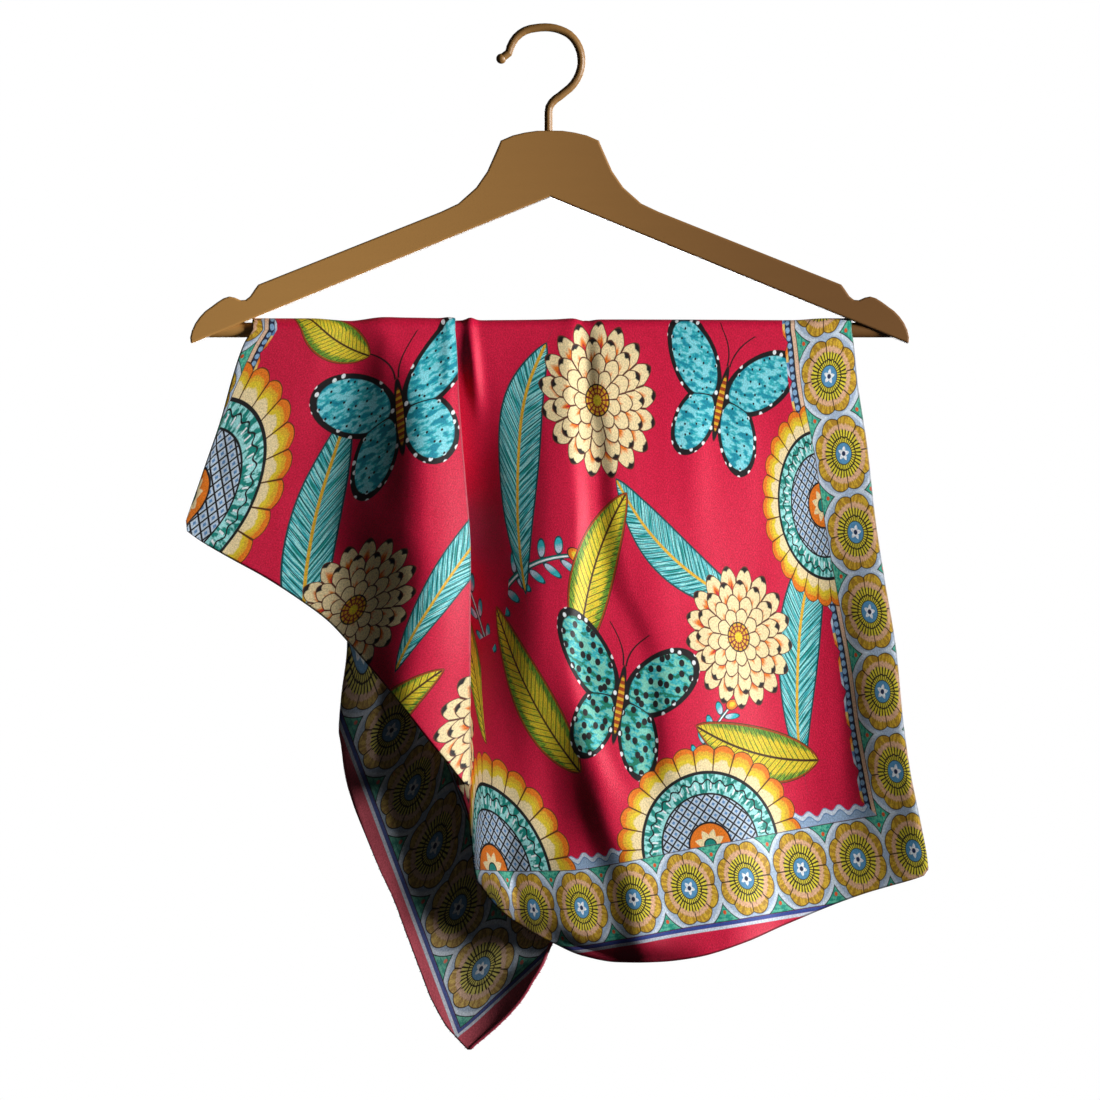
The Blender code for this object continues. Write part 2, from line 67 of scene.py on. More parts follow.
def add_node(tree, kind, inputs=None, **settings):
    """A node of that kind, with its own settings and then its inputs."""
    made = tree.nodes.new(kind)
    for name, value in settings.items():
        setattr(made, name, value)
    set_inputs(tree, made, inputs or {})
    return made


def relief(tree, heights, strength, distance):
    """The small relief of a finish, from the heights that a node gives."""
    bump = add_node(tree, "ShaderNodeBump",
                    {"Strength": strength, "Distance": distance, "Height": heights})
    return bump.outputs["Normal"]


def new_finish(name):
    """A new material, with its nodes and its shader."""
    finish = bpy.data.materials.new(name)
    finish.use_nodes = True
    return finish, finish.node_tree, finish.node_tree.nodes["Principled BSDF"]


ARM_REACH = 0.20        # from the hook to where an arm has its full tone, in metres
FIBRES_PER_METRE = (14.0, 60.0, 160.0)
SPRAY_SPECKS = 900.0    # specks of the sprayed coat to a metre


def lacquer(name, left, right, roughness, grain):
    """Satin brown lacquer with painted shade: lighter on the left arm and darker on the right one."""
    coat, tree, shader = new_finish(name)
    place = add_node(tree, "ShaderNodeTexCoord").outputs["Object"]
    apart = add_node(tree, "ShaderNodeSeparateXYZ", {0: place})
    # Painted shade: the brown goes from the lighter left to the darker right across the arms.
    arm_shade = add_node(tree, "ShaderNodeMapRange", {
        "From Min": -ARM_REACH, "From Max": ARM_REACH, "Value": apart.outputs["X"],
    }, interpolation_type="SMOOTHSTEP")
    tone = add_node(tree, "ShaderNodeMix", {
        "A": left, "B": right, "Factor": arm_shade.outputs["Result"],
    }, data_type="RGBA")
    stretch = add_node(tree, "ShaderNodeMapping", {"Scale": FIBRES_PER_METRE, "Vector": place})
    fibres = add_node(tree, "ShaderNodeTexNoise", {
        "Scale": 1.0, "Detail": 6.0, "Roughness": 0.6, "Vector": stretch.outputs["Vector"],
    })
    shadow = add_node(tree, "ShaderNodeMapRange", {
        "To Min": 1.0 - grain, "To Max": 1.0 + grain, "Value": fibres.outputs["Fac"],
    })
    grained = add_node(tree, "ShaderNodeMix", {
        "Factor": 1.0, "A": tone.outputs["Result"], "B": shadow.outputs["Result"],
    }, data_type="RGBA", blend_type="MULTIPLY")
    skin = add_node(tree, "ShaderNodeTexNoise", {"Scale": SPRAY_SPECKS, "Detail": 3.0, "Vector": place})
    set_inputs(tree, shader, {
        "Base Color": grained.outputs["Result"],
        "Normal": relief(tree, skin.outputs["Fac"], 0.12, 0.0002),
        "Roughness": roughness,
        "Coat Weight": 0.25,
        "Coat Roughness": 0.3,
    })
    return coat


def spray(node, coat):
    """Gives one of the hanger's own pieces its coat."""
    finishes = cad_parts[node].data.materials
    finishes.clear()
    finishes.append(coat)


# Painted shade across the hanger: a lighter brown on the left arm, a darker one on the right.
BROWN_LIT_LEFT = srgb(180, 132, 70)
BROWN_SHADED_RIGHT = srgb(112, 76, 38)
wood = lacquer("satin_brown_lacquer", BROWN_LIT_LEFT, BROWN_SHADED_RIGHT, 0.42, 0.035)
spray("hanger_body", wood)
spray("hanger_bar", wood)


# ---- Hook ------------------------------------------------------------------------------
# Steel wire bent to a crook, its end upset to a small ball. It is let into the neck of the
# body and sprayed the brown of the wood.

BROWN_HOOK = srgb(138, 99, 50)
hook_paint = lacquer("brown_hook_paint", BROWN_HOOK, BROWN_HOOK, 0.46, 0.02)
spray("hanger_hook", hook_paint)


# ---- Printed silk ----------------------------------------------------------------------
# Silk twill, screen printed by hand on a crimson ground: a border of rosettes, half suns
# that stand on it, and leaves, dahlias, butterflies and sprays in the field. The UV map
# "cut" is the flat square in metres, measured from its lower left corner.

MM = 0.001
SQUARE = 900.0          # the whole square, in millimetres of print
BAND_MIDDLE = 44.0      # centre of the rosettes from the hem
BAND_HALF = 24.0
ROSETTE_STEP = (SQUARE - 2 * BAND_MIDDLE) / 17    # 17 steps between two corner rosettes

CREAM = srgb(238, 216, 166)
PALE_BLUE = srgb(190, 206, 222)
BLUE = srgb(92, 138, 186)
TURQUOISE = srgb(52, 176, 186)
PALE_TURQUOISE = srgb(158, 222, 220)
TEAL = srgb(20, 132, 120)
DEEP_TEAL = srgb(10, 66, 72)
GREEN = srgb(84, 134, 40)
YELLOW = srgb(226, 198, 48)
GOLD = srgb(222, 172, 44)
ORANGE = srgb(228, 120, 28)
RUST = srgb(160, 66, 24)
PETAL_LINE = srgb(92, 48, 34)
FLAME_LINE = srgb(90, 50, 20)
INK = srgb(26, 22, 24)
WHITE = srgb(232, 236, 238)

silk, dye, silk_shader = new_finish("printed_silk_twill")


def reckon(kind, *terms, clamp=False):
    """One step of arithmetic on the print."""
    inputs = {k: term.socket if isinstance(term, Value) else term for k, term in enumerate(terms)}
    return Value(add_node(dye, "ShaderNodeMath", inputs, operation=kind, use_clamp=clamp).outputs[0])


class Value:
    """A number that a node of the print gives, so that outlines can be written as sums."""

    def __init__(self, socket):
        self.socket = socket

    def __add__(self, other):
        return reckon("ADD", self, other)

    def __sub__(self, other):
        return reckon("SUBTRACT", self, other)

    def __rsub__(self, other):
        return reckon("SUBTRACT", other, self)

    def __mul__(self, other):
        return reckon("MULTIPLY", self, other)

    __rmul__ = __mul__

    def __truediv__(self, other):
        return self * (1.0 / other)

    def __abs__(self):
        return reckon("ABSOLUTE", self)

    def power(self, by):
        return reckon("POWER", self, by)

    def part(self):
        """The fraction left of a whole number of repeats."""
        return reckon("FRACT", self)


def least(a, b):
    return reckon("MINIMUM", a, b)


def most(a, b):
    return reckon("MAXIMUM", a, b)


def below(value, edge, soft=0.35):
    """1 where the value is under the edge, with a soft printed edge, in millimetres."""
    return reckon("MULTIPLY_ADD", value, -1.0 / soft, edge / soft + 0.5, clamp=True)


def above(value, edge, soft=0.35):
    """1 where the value is over the edge."""
    return reckon("MULTIPLY_ADD", value, 1.0 / soft, 0.5 - edge / soft, clamp=True)


def reach(x, y):
    """Distance from the centre of a motif."""
    return reckon("SQRT", reckon("MULTIPLY_ADD", x, x, y * y))


def turns(x, y):
    """Angle round the centre of a motif, in whole turns."""
    return reckon("ARCTAN2", x, y) * (0.5 / math.pi)


def spokes(turn, count, phase=0.0):
    """0 on the middle of each of the petals round a centre, 1 between them."""
    return abs(reckon("MULTIPLY_ADD", turn, float(count), phase).part() - 0.5) * 2.0


def paint(under, over, where):
    """Prints one screen over another."""
    screens = {"Factor": where.socket, "A": under, "B": over}
    return add_node(dye, "ShaderNodeMix", screens, data_type="RGBA").outputs["Result"]


def brushed(x, y, fine, long):
    """Uneven strokes of the brush, longer along y."""
    joined = add_node(dye, "ShaderNodeCombineXYZ", {"X": (x / fine).socket, "Y": (y / long).socket})
    strokes = add_node(dye, "ShaderNodeTexNoise", {
        "Scale": 1.0, "Detail": 2.0, "Vector": joined.outputs[0],
    }, noise_dimensions="2D")
    return Value(strokes.outputs["Fac"])


cut = add_node(dye, "ShaderNodeUVMap", uv_map="cut")
in_mm = add_node(dye, "ShaderNodeVectorMath", {0: cut.outputs["UV"], "Scale": 1.0 / MM}, operation="SCALE")
sheet_xy = add_node(dye, "ShaderNodeSeparateXYZ", {0: in_mm.outputs[0]})
across_all, up_all = Value(sheet_xy.outputs["X"]), Value(sheet_xy.outputs["Y"])

# The print's upper half is its lower half turned round, as the screens are used twice.
upper = above(up_all, SQUARE / 2, 0.01)
across = across_all + upper * (SQUARE - 2.0 * across_all)
up = up_all + upper * (SQUARE - 2.0 * up_all)
sheet_place = add_node(dye, "ShaderNodeCombineXYZ", {"X": across.socket, "Y": up.socket})
FAR_AWAY = (9999.0, 9999.0, 0.0)    # a place that no motif reaches


def motifs(places, size):
    """Local coordinates of a motif that is printed at many places.

    A place is its centre across and up, its turn in degrees and its scale.
    """
    local = FAR_AWAY
    for x, y, degrees, scale in places:
        mapping = add_node(dye, "ShaderNodeMapping", {
            "Vector": sheet_place.outputs[0], "Location": (x, y, 0.0),
            "Rotation": (0.0, 0.0, math.radians(degrees)), "Scale": (scale, scale, 1.0),
        }, vector_type="TEXTURE")
        length = add_node(dye, "ShaderNodeVectorMath", {0: mapping.outputs[0]}, operation="LENGTH")
        near = reckon("LESS_THAN", Value(length.outputs["Value"]), size)
        choose = add_node(dye, "ShaderNodeMix", {
            "Factor": near.socket, "A": local, "B": mapping.outputs[0],
        }, data_type="VECTOR")
        local = choose.outputs["Result"]
    apart = add_node(dye, "ShaderNodeSeparateXYZ", {0: local})
    return Value(apart.outputs["X"]), Value(apart.outputs["Y"])


def long_leaves(cloth, places):
    """Long blue-green leaves, bent a little, with slanting veins and an ochre rib."""
    x, y = motifs(places, 60.0)
    x = x - 0.0036 * y * y
    taper = reckon("MULTIPLY_ADD", y / 52.0, y / -52.0, 1.0)
    edge = most(taper, 0.0).power(0.8) * reckon("MULTIPLY_ADD", y, 0.035, 11.5)
    side = abs(x)
    into = edge - side
    slant = y - 1.15 * side
    vein = (slant / 3.3).part()
    strokes = brushed(slant, side, 0.9, 9.0)
    body = paint(TURQUOISE, PALE_TURQUOISE, above(strokes, 0.54, 0.10))
    body = paint(body, TEAL, below(strokes, 0.42, 0.08))
    body = paint(body, DEEP_TEAL, below(vein, 0.16, 0.08))
    body = paint(body, GOLD, below(side, 0.75))
    body = paint(body, DEEP_TEAL, below(into, 0.9))
    return paint(cloth, body, above(into, 0.0))


def broad_leaves(cloth, places):
    """Broad leaves, yellow along the rib and green outside, with a rusty rim."""
    x, y = motifs(places, 56.0)
    x = x - 0.0025 * y * y
    taper = reckon("MULTIPLY_ADD", y / 50.0, y / -50.0, 1.0)
    edge = most(taper, 0.0).power(0.7) * reckon("MULTIPLY_ADD", y, -0.05, 16.0)
    side = abs(x)
    into = edge - side
    slant = y - 0.9 * side
    vein = (slant / 4.4).part()
    strokes = brushed(slant, side, 0.8, 7.0)
    middle = side + strokes * 10.0 - edge * 0.62
    body = paint(YELLOW, GREEN, above(middle, 5.0, 1.2))
    body = paint(body, srgb(150, 178, 50), above(strokes, 0.60, 0.06))
    body = paint(body, srgb(60, 44, 20), below(vein, 0.13, 0.07))
    body = paint(body, srgb(70, 44, 20), below(side, 0.7))
    body = paint(body, RUST, below(into, 1.6))
    body = paint(body, srgb(40, 50, 16), below(into, 0.5))
    return paint(cloth, body, above(into, 0.0))


DAHLIA_RINGS = (
    # petals, outer reach, tip phase
    (17, 40.0, 0.0),
    (15, 32.0, 0.4),
    (12, 24.0, 0.1),
    (9, 16.5, 0.6),
)


def dahlias(cloth, places):
    """Cream dahlias in four rings of pointed petals, dark tips outside, warm within."""
    x, y = motifs(places, 43.0)
    r, turn = reach(x, y), turns(x, y)
    strokes = brushed(turn * 60.0, r, 1.0, 26.0)
    for ring, (count, outer, phase) in enumerate(DAHLIA_RINGS):
        between = spokes(turn, count, phase)
        edge = outer - between.power(1.7) * (outer * 0.19)
        into = edge - r
        petal = paint(CREAM, ORANGE, above(into + strokes * 9.0, 13.0, 3.0))
        petal = paint(petal, srgb(190, 36, 40), above(into + strokes * 10.0, 16.5, 2.0))
        if ring < 2:
            petal = paint(petal, INK, below(into + between * 7.0 + strokes * 3.0, 5.2, 0.8))
        petal = paint(petal, PETAL_LINE, below(into, 0.8))
        petal = paint(petal, PETAL_LINE, above(between, 0.90, 0.06))
        cloth = paint(cloth, petal, above(into, 0.0))
    seeds = spokes(r * 0.42, 1)
    heart = paint(GOLD, RUST, below(seeds, 0.35, 0.2))
    heart = paint(heart, srgb(120, 20, 40), below(spokes(turn, 13), 0.34, 0.2))
    heart = paint(heart, YELLOW, below(r, 2.6))
    heart = paint(heart, INK, above(r, 7.6))
    return paint(cloth, heart, below(r, 8.4))


def oval(x, y, at, radii, degrees):
    """How far inside an oval a point is: 1 at its middle, 0 on its edge."""
    cos, sin = math.cos(math.radians(degrees)), math.sin(math.radians(degrees))
    dx, dy = x - at[0], y - at[1]
    u = reckon("MULTIPLY_ADD", dx, cos / radii[0], dy * (sin / radii[0]))
    v = reckon("MULTIPLY_ADD", dx, -sin / radii[1], dy * (cos / radii[1]))
    return 1.0 - reach(u, v)


SPOTS_TO_MM = 0.155     # spots of a wing to a millimetre


def butterflies(cloth, places, light, deep, spots):
    """Blue-green butterflies, their wings rimmed with black and more or less spotted."""
    x, y = motifs(places, 60.0)
    side = abs(x)
    fore = oval(side, y, (24.0, 15.0), (27.0, 14.5), 38.0)
    hind = oval(side, y, (15.0, -15.0), (13.0, 21.0), 24.0)
    wings = most(fore, hind)
    joined = add_node(dye, "ShaderNodeCombineXYZ", {
        "X": (side * SPOTS_TO_MM).socket, "Y": (y * SPOTS_TO_MM).socket,
    })
    cells = add_node(dye, "ShaderNodeTexVoronoi", {
        "Scale": 1.0, "Randomness": 0.7, "Vector": joined.outputs[0],
    }, voronoi_dimensions="2D", feature="F1")
    spot = Value(cells.outputs["Distance"])
    strokes = brushed(side, y, 6.0, 3.0)
    wing = paint(TURQUOISE, light, above(strokes, 0.52, 0.08))
    wing = paint(wing, deep, below(strokes, 0.42, 0.08))
    wing = paint(wing, INK, below(spot, spots, 0.05))
    rim = paint(INK, WHITE, below(spot, 0.18, 0.05))
    wing = paint(wing, rim, below(wings, 0.17, 0.03))
    wing = paint(wing, INK, below(abs(fore - hind), 0.03, 0.02))
    cloth = paint(cloth, wing, above(wings, 0.0, 0.02))
    body = oval(side, y, (0.0, -2.0), (2.9, 20.0), 0.0)
    feeler = reckon("MULTIPLY_ADD", (y - 18.0) * 0.035, y - 18.0, 1.0)
    feeler = most(abs(side - feeler), abs(y - 27.0) - 9.0)
    cloth = paint(cloth, INK, below(feeler, 0.5))
    ringed = paint(RUST, GOLD, below((y * 0.3).part(), 0.45, 0.12))
    ringed = paint(ringed, INK, below(body, 0.28, 0.08))
    return paint(cloth, ringed, above(body, 0.0, 0.08))


LEAF_STEP = 12.5        # between two pairs of leaves on a spray


def sprays(cloth, places):
    """Curved sprays: a stem with pairs of small leaves and a berry at the tip."""
    x, y = motifs(places, 58.0)
    x = x - 0.0052 * y * y
    side = abs(x)
    inside = below(abs(y), 47.0)
    pair = ((y + 2.0) / LEAF_STEP).part() * LEAF_STEP
    leaf = oval(side, pair, (6.4, 6.0), (6.4, 2.7), 36.0)
    tone = paint(PALE_BLUE, TURQUOISE, above(side, 6.0, 3.0))
    tone = paint(tone, DEEP_TEAL, below(leaf, 0.2, 0.08))
    cloth = paint(cloth, tone, above(leaf, 0.0, 0.08) * inside)
    stem = side + y * 0.008
    bark = paint(TEAL, WHITE, below(abs(x - 0.2), 0.5))
    bark = paint(bark, DEEP_TEAL, above(stem, 1.1))
    cloth = paint(cloth, bark, below(stem, 1.7) * inside)
    berry = reach(x, y - 49.0)
    fruit = paint(ORANGE, YELLOW, below(berry, 2.2, 1.0))
    fruit = paint(fruit, INK, above(berry, 4.2))
    return paint(cloth, fruit, below(berry, 4.9))


NET_STEP = 9.0          # between two threads of the net


def half_suns(cloth, places, shown):
    """Half suns on the border: flame petals, a plaited ring and a netted heart."""
    x, y = motifs(places, 104.0)
    x = x * 0.80
    r, turn = reach(x, y), turns(x, y)
    strokes = brushed(turn * 80.0, r, 1.0, 9.0)
    between = spokes(turn, 26)
    edge = 80.0 - 4.5 * between.power(2.2)
    into = edge - r + strokes * 5.0
    flame = paint(ORANGE, GOLD, above(into, 7.5, 1.4))
    flame = paint(flame, YELLOW, above(into, 11.0, 1.2))
    flame = paint(flame, CREAM, above(into, 15.0, 1.4))
    flame = paint(flame, FLAME_LINE, above(between, 0.93, 0.04))
    flame = paint(flame, FLAME_LINE, below(edge - r, 0.8))
    sun = paint(flame, INK, below(r, 59.0))
    ring = paint(TEAL, PALE_TURQUOISE, above(strokes, 0.5, 0.08))
    ring = paint(ring, WHITE, below(spokes(turn, 44), 0.2, 0.1) * below(abs(r - 47.0), 2.5))
    sun = paint(sun, ring, below(r, 56.5))
    plait = reckon("SINE", turn * (2 * math.pi * 30)) * 1.6
    sun = paint(sun, INK, below(abs(r - 50.5 + plait), 0.7))
    sun = paint(sun, INK, below(r, 41.5))
    rising, falling = ((x + y) / NET_STEP).part(), ((x - y) / NET_STEP).part()
    knots = most(abs(rising - 0.5), abs(falling - 0.5))
    net = paint(PALE_BLUE, INK, above(knots, 0.40, 0.05))
    net = paint(net, BLUE, below(knots, 0.17, 0.06))
    sun = paint(sun, net, below(r, 40.0))
    sun = paint(sun, INK, below(r, 18.5))
    core = paint(ORANGE, CREAM, below(r + 5.0 * spokes(turn, 8), 13.0, 0.8))
    core = paint(core, TEAL, below(r, 5.0))
    core = paint(core, INK, below(abs(r - 5.0), 0.5))
    sun = paint(sun, core, below(r, 17.0))
    return paint(cloth, sun, above(edge - r, 0.0) * shown)


def border(cloth):
    """Rosettes in a band inside the plain margin, with a trimmed inner edge."""
    from_side = least(across, SQUARE - across)
    hem = least(from_side, up)
    beside = reckon("LESS_THAN", from_side, up)
    run = across + beside * (up - across)
    step = ROSETTE_STEP
    a = (reckon("MULTIPLY_ADD", run, 1 / step, 0.5 - BAND_MIDDLE / step).part() - 0.5) * step
    b = hem - BAND_MIDDLE
    r, turn = reach(a, b), turns(a, b)
    strokes = brushed(turn * 70.0, r, 1.0, 6.0)
    ground = paint(srgb(34, 150, 130), srgb(96, 190, 160), above(brushed(a, b, 4.0, 2.0), 0.5, 0.2))
    ground = paint(ground, srgb(214, 84, 40), below(reach(abs(a) - step / 2, abs(b) - 18.2), 1.3))
    ground = paint(ground, INK, below(r, 27.4))
    ground = paint(ground, srgb(206, 218, 230), below(r, 26.8))
    ground = paint(ground, srgb(168, 186, 208), below(r, 24.4, 1.2))
    between = spokes(turn, 8)
    edge = 23.6 - 2.8 * between.power(2.0)
    petal = paint(srgb(212, 172, 52), srgb(176, 132, 40), above(strokes, 0.50, 0.08))
    petal = paint(petal, srgb(222, 176, 140), below(r + strokes * 3.0, 19.4, 0.8))
    petal = paint(petal, srgb(190, 132, 104), below(r + strokes * 9.0, 19.0, 1.6))
    petal = paint(petal, srgb(62, 40, 22), above(between, 0.94, 0.05) * above(r, 14.0))
    petal = paint(petal, srgb(52, 34, 20), below(edge - r, 0.6))
    rays = paint(srgb(222, 206, 60), srgb(42, 34, 24), below(spokes(turn, 34), 0.42, 0.2))
    petal = paint(petal, rays, below(r + strokes * 3.0, 16.2, 0.5))
    petal = paint(petal, srgb(46, 36, 26), below(abs(r - 10.8 + strokes * 2.0), 0.5))
    petal = paint(petal, INK, below(r, 6.9))
    petal = paint(petal, srgb(86, 146, 188), below(r, 6.4))
    petal = paint(petal, WHITE, below(r + 2.4 * spokes(turn, 5), 4.6))
    petal = paint(petal, srgb(34, 48, 84), below(r, 1.5))
    band = paint(ground, petal, above(edge - r, 0.0))
    band = paint(band, INK, above(abs(b), BAND_HALF - 0.5))
    cloth = paint(cloth, band, below(abs(b), BAND_HALF))
    outer = BAND_MIDDLE - BAND_HALF
    cloth = paint(cloth, srgb(204, 212, 226), below(abs(hem - outer + 3.2), 1.0))
    cloth = paint(cloth, srgb(52, 74, 150), below(abs(hem - outer + 1.1), 1.1))

    # The trim inside the band: pointed flames beside, low waves above the foot.
    inner = hem - BAND_MIDDLE - BAND_HALF
    beyond = above(inner, 0.0)
    tooth = inner - 7.4 + spokes(run * (2.0 / step), 1) * 8.0
    flip = below(spokes(run / step, 1), 0.5, 0.02)
    flames = paint(srgb(196, 208, 224), srgb(232, 196, 110), flip)
    flames = paint(flames, ORANGE, above(tooth, 4.6, 1.6) * flip)
    flames = paint(flames, BLUE, below(tooth, 4.0, 1.6) * (1.0 - flip))
    flames = paint(flames, srgb(60, 36, 26), above(tooth, 7.2))
    bead = reach(spokes(run * (10.0 / step), 1) * (step / 20.0), inner - 5.9)
    flames = paint(flames, srgb(40, 50, 80), below(inner, 8.0))
    flames = paint(flames, srgb(134, 172, 208), below(bead, 1.75))
    flames = paint(flames, INK, below(inner, 3.9))
    flames = paint(flames, srgb(226, 190, 160), below(inner, 3.0))
    rise = reckon("SINE", run * (2 * math.pi / 13.0)) * 1.6 + reckon("SINE", run * (2 * math.pi / 31.0))
    wave = inner - 8.0 + rise
    waves = paint(srgb(150, 176, 206), srgb(206, 216, 228), above(wave, -3.2, 0.8))
    waves = paint(waves, srgb(96, 130, 176), below(abs(wave + 3.6), 0.35))
    waves = paint(waves, srgb(110, 140, 184), below(abs(wave + 0.2), 0.4))
    side_trim = below(tooth, 7.8) * beside
    cloth = paint(cloth, flames, side_trim * beyond)
    cloth = paint(cloth, waves, below(wave, 0.0) * (1.0 - beside) * beyond)
    return cloth, above(inner, 0.0)


LONG_LEAF_PLACES = (
    # across, up, turn in degrees, scale
    (178.0, 244.0, 20.0, 1.70),
    (792.0, 176.0, -20.0, 1.50),
    (582.0, 322.0, -20.0, 1.60),
    (704.0, 246.0, 44.0, 1.35),
    (304.0, 252.0, -16.0, 1.50),
    (420.0, 330.0, -40.0, 1.60),
)
BROAD_LEAF_PLACES = (
    (122.0, 376.0, 70.0, 0.85),
    (634.0, 252.0, -34.0, 1.15),
    (742.0, 118.0, 70.0, 1.05),
    (296.0, 130.0, -30.0, 1.25),
    (468.0, 200.0, 20.0, 1.20),
    (556.0, 176.0, 30.0, 1.20),
)
DAHLIA_PLACES = (
    (662.0, 356.0, 0.0, 1.25),
    (744.0, 190.0, 10.0, 1.12),
    (236.0, 208.0, 5.0, 1.20),
    (160.0, 150.0, 0.0, 1.1),
    (400.0, 160.0, 0.0, 1.3),
)
BUTTERFLY_PLACES = (
    (636.0, 168.0, -24.0, 1.30),
    (430.0, 260.0, 24.0, 1.4),
)
BLUE_BUTTERFLY_PLACES = (
    (206.0, 334.0, 32.0, 1.40),
    (764.0, 336.0, -28.0, 1.22),
)
SPRAY_PLACES = (
    (694.0, 120.0, -34.0, 0.9),
    (560.0, 250.0, -64.0, 1.2),
    (150.0, 110.0, -60.0, 1.0),
    (480.0, 270.0, 10.0, 1.3),
    (300.0, 330.0, 14.0, 1.2),
)
SUN_PLACES = (
    (68.0, 262.0, -90.0, 0.90),
    (832.0, 256.0, 90.0, 0.62),
    (690.0, 68.0, 0.0, 0.78),
    (480.0, 68.0, 0.0, 0.92),
    (300.0, 68.0, 0.0, 0.60),
)

mottle = add_node(dye, "ShaderNodeTexNoise", {
    "Scale": 0.22, "Detail": 4.0, "Vector": in_mm.outputs[0],
}, noise_dimensions="2D")
ground_dye = paint(srgb(196, 18, 56), srgb(212, 26, 68), Value(mottle.outputs["Fac"]))
border_print, field = border(ground_dye)
printed = sprays(ground_dye, SPRAY_PLACES)
printed = long_leaves(printed, LONG_LEAF_PLACES)
printed = broad_leaves(printed, BROAD_LEAF_PLACES)
printed = dahlias(printed, DAHLIA_PLACES)
printed = butterflies(printed, BUTTERFLY_PLACES, srgb(120, 196, 176), srgb(28, 118, 92), 0.27)
printed = butterflies(printed, BLUE_BUTTERFLY_PLACES, srgb(128, 210, 220), srgb(24, 138, 160), 0.10)
past_trim = above(least(least(across, SQUARE - across), up), 78.0)
printed = paint(border_print, printed, field * past_trim)
printed = half_suns(printed, SUN_PLACES, field)

# Twill: fine diagonal ribs that catch the light, and a soft sheen.
TWILL_PITCH = 0.55      # between two ribs, in millimetres
rib = reckon("SINE", (across_all + up_all) * (2 * math.pi / (TWILL_PITCH * math.sqrt(2))))
slub = add_node(dye, "ShaderNodeTexNoise", {
    "Scale": 0.9, "Detail": 3.0, "Vector": in_mm.outputs[0],
}, noise_dimensions="2D")
thread = Value(slub.outputs["Fac"])
weave = reckon("MULTIPLY_ADD", thread, 1.6, rib * 0.35)

# Painted shade: the print is darkened where the silk is folded sharply or sewn.
painted_shade_node = add_node(dye, "ShaderNodeAttribute", attribute_name="painted_shade")
printed = paint(printed, srgb(30, 6, 12), Value(painted_shade_node.outputs["Fac"]) * 0.72)
woven = add_node(dye, "ShaderNodeMix", {
    "Factor": 1.0, "A": printed, "B": (thread + 0.5).socket,
}, data_type="RGBA", blend_type="MULTIPLY")
set_inputs(dye, silk_shader, {
    "Base Color": woven.outputs["Result"],
    "Normal": relief(dye, weave.socket, 0.32, 0.0003),
    "Roughness": 0.46,
    "Sheen Weight": 0.05,
    "Sheen Roughness": 0.35,
    "Sheen Tint": (1.0, 0.75, 0.80, 1.0),
    "Specular IOR Level": 0.30,
})

# On the wrong side the print is duller, as the dye goes through less well, and it is also darker as painted
# shade.
shaded_wrong_side_silk = silk.copy()
shaded_wrong_side_silk.name = "printed_silk_wrong_side_shaded"
inner = shaded_wrong_side_silk.node_tree
inner_shader = inner.nodes["Principled BSDF"]
dulled_and_shaded = add_node(inner, "ShaderNodeHueSaturation", {
    "Color": inner_shader.inputs["Base Color"].links[0].from_socket,
    "Saturation": 0.84, "Value": 0.67,
})
inner.links.new(dulled_and_shaded.outputs["Color"], inner_shader.inputs["Base Color"])


# ---- Front drop, left stretch ----------------------------------------------------------
# The silk is doubled back along its left side and along the slope below, and turned once
# more at the pleat, so it is one layer with three folds. It lies over the bar.

BAR_MIDDLE = -185.1     # height of the bar's centre line, in millimetres
BAR_REACH = 5.45        # from there to the middle of the silk
SILK_WALL = 0.45        # thickness of the silk as modelled
TURN_ROWS, LAP_ROWS = 14, 4
WRAP_ROWS = TURN_ROWS + LAP_ROWS
LAP_LONG = 13.0         # how far the silk comes down behind the bar
LAP_SLACK = 0.9         # how far the end of that lap stands off

LEFT_MARKS = 4
LEFT_SECTIONS = (
    # height, then edge, band, crest and pleat: where each is across, and how far out
    (-185.1, -184.0, -122.0, -101.0, -55.6, 0.0, 0.0, 2.2, 1.6),
    (-194.4, -187.6, -122.0, -92.0, -55.1, 0.0, 0.3, 4.6, 3.2),
    (-216.1, -194.6, -122.0, -80.0, -53.9, 0.0, 0.6, 11.0, 8.6),
    (-240.9, -201.7, -125.0, -74.0, -52.3, 0.0, 1.0, 16.8, 13.0),
    (-276.9, -214.1, -131.0, -74.0, -49.2, 0.0, 1.2, 20.4, 16.2),
    (-307.9, -223.8, -135.0, -75.0, -46.7, 0.0, 1.0, 21.4, 17.0),
    (-338.9, -224.2, -132.0, -70.0, -46.1, 0.4, 0.8, 22.0, 17.6),
    (-379.8, -224.4, -138.0, -76.0, -46.1, 0.6, 1.0, 21.4, 16.6),
    (-408.3, -224.6, -121.0, -81.0, -46.3, 0.8, 5.2, 19.4, 14.8),
    (-445.5, -224.8, -110.0, -76.0, -46.4, 1.0, 7.0, 15.6, 11.6),
    (-470.0, -225.0, -100.0, -58.0, -46.5, 1.0, 6.6, 12.4, 10.6),
)
LEFT_SIDE = (
    # across, height
    (-181.6, -185.1),
    (-186.9, -194.4),
    (-194.6, -216.1),
    (-201.7, -240.9),
    (-214.1, -276.9),
    (-222.6, -303.0),
)
LEFT_SLOPE = (
    (-223.8, -308.6),
    (-213.5, -316.0),
    (-198.0, -325.2),
    (-173.2, -338.9),
    (-152.2, -352.5),
    (-134.2, -366.0),
    (-121.1, -379.8),
    (-96.3, -408.3),
    (-66.9, -445.5),
    (-48.5, -467.5),
)
PLEAT_EDGE = (
    (-56.0, -185.1),
    (-55.1, -194.4),
    (-53.9, -216.1),
    (-52.3, -240.9),
    (-49.2, -276.9),
    (-46.7, -307.9),
    (-46.1, -325.2),
    (-46.1, -379.8),
    (-46.4, -445.5),
    (-46.5, -466.5),
)


def eased(share):
    """From 0 to 1 with a soft start and a soft end."""
    share = np.clip(share, 0, 1)
    return share * share * (3 - 2 * share)


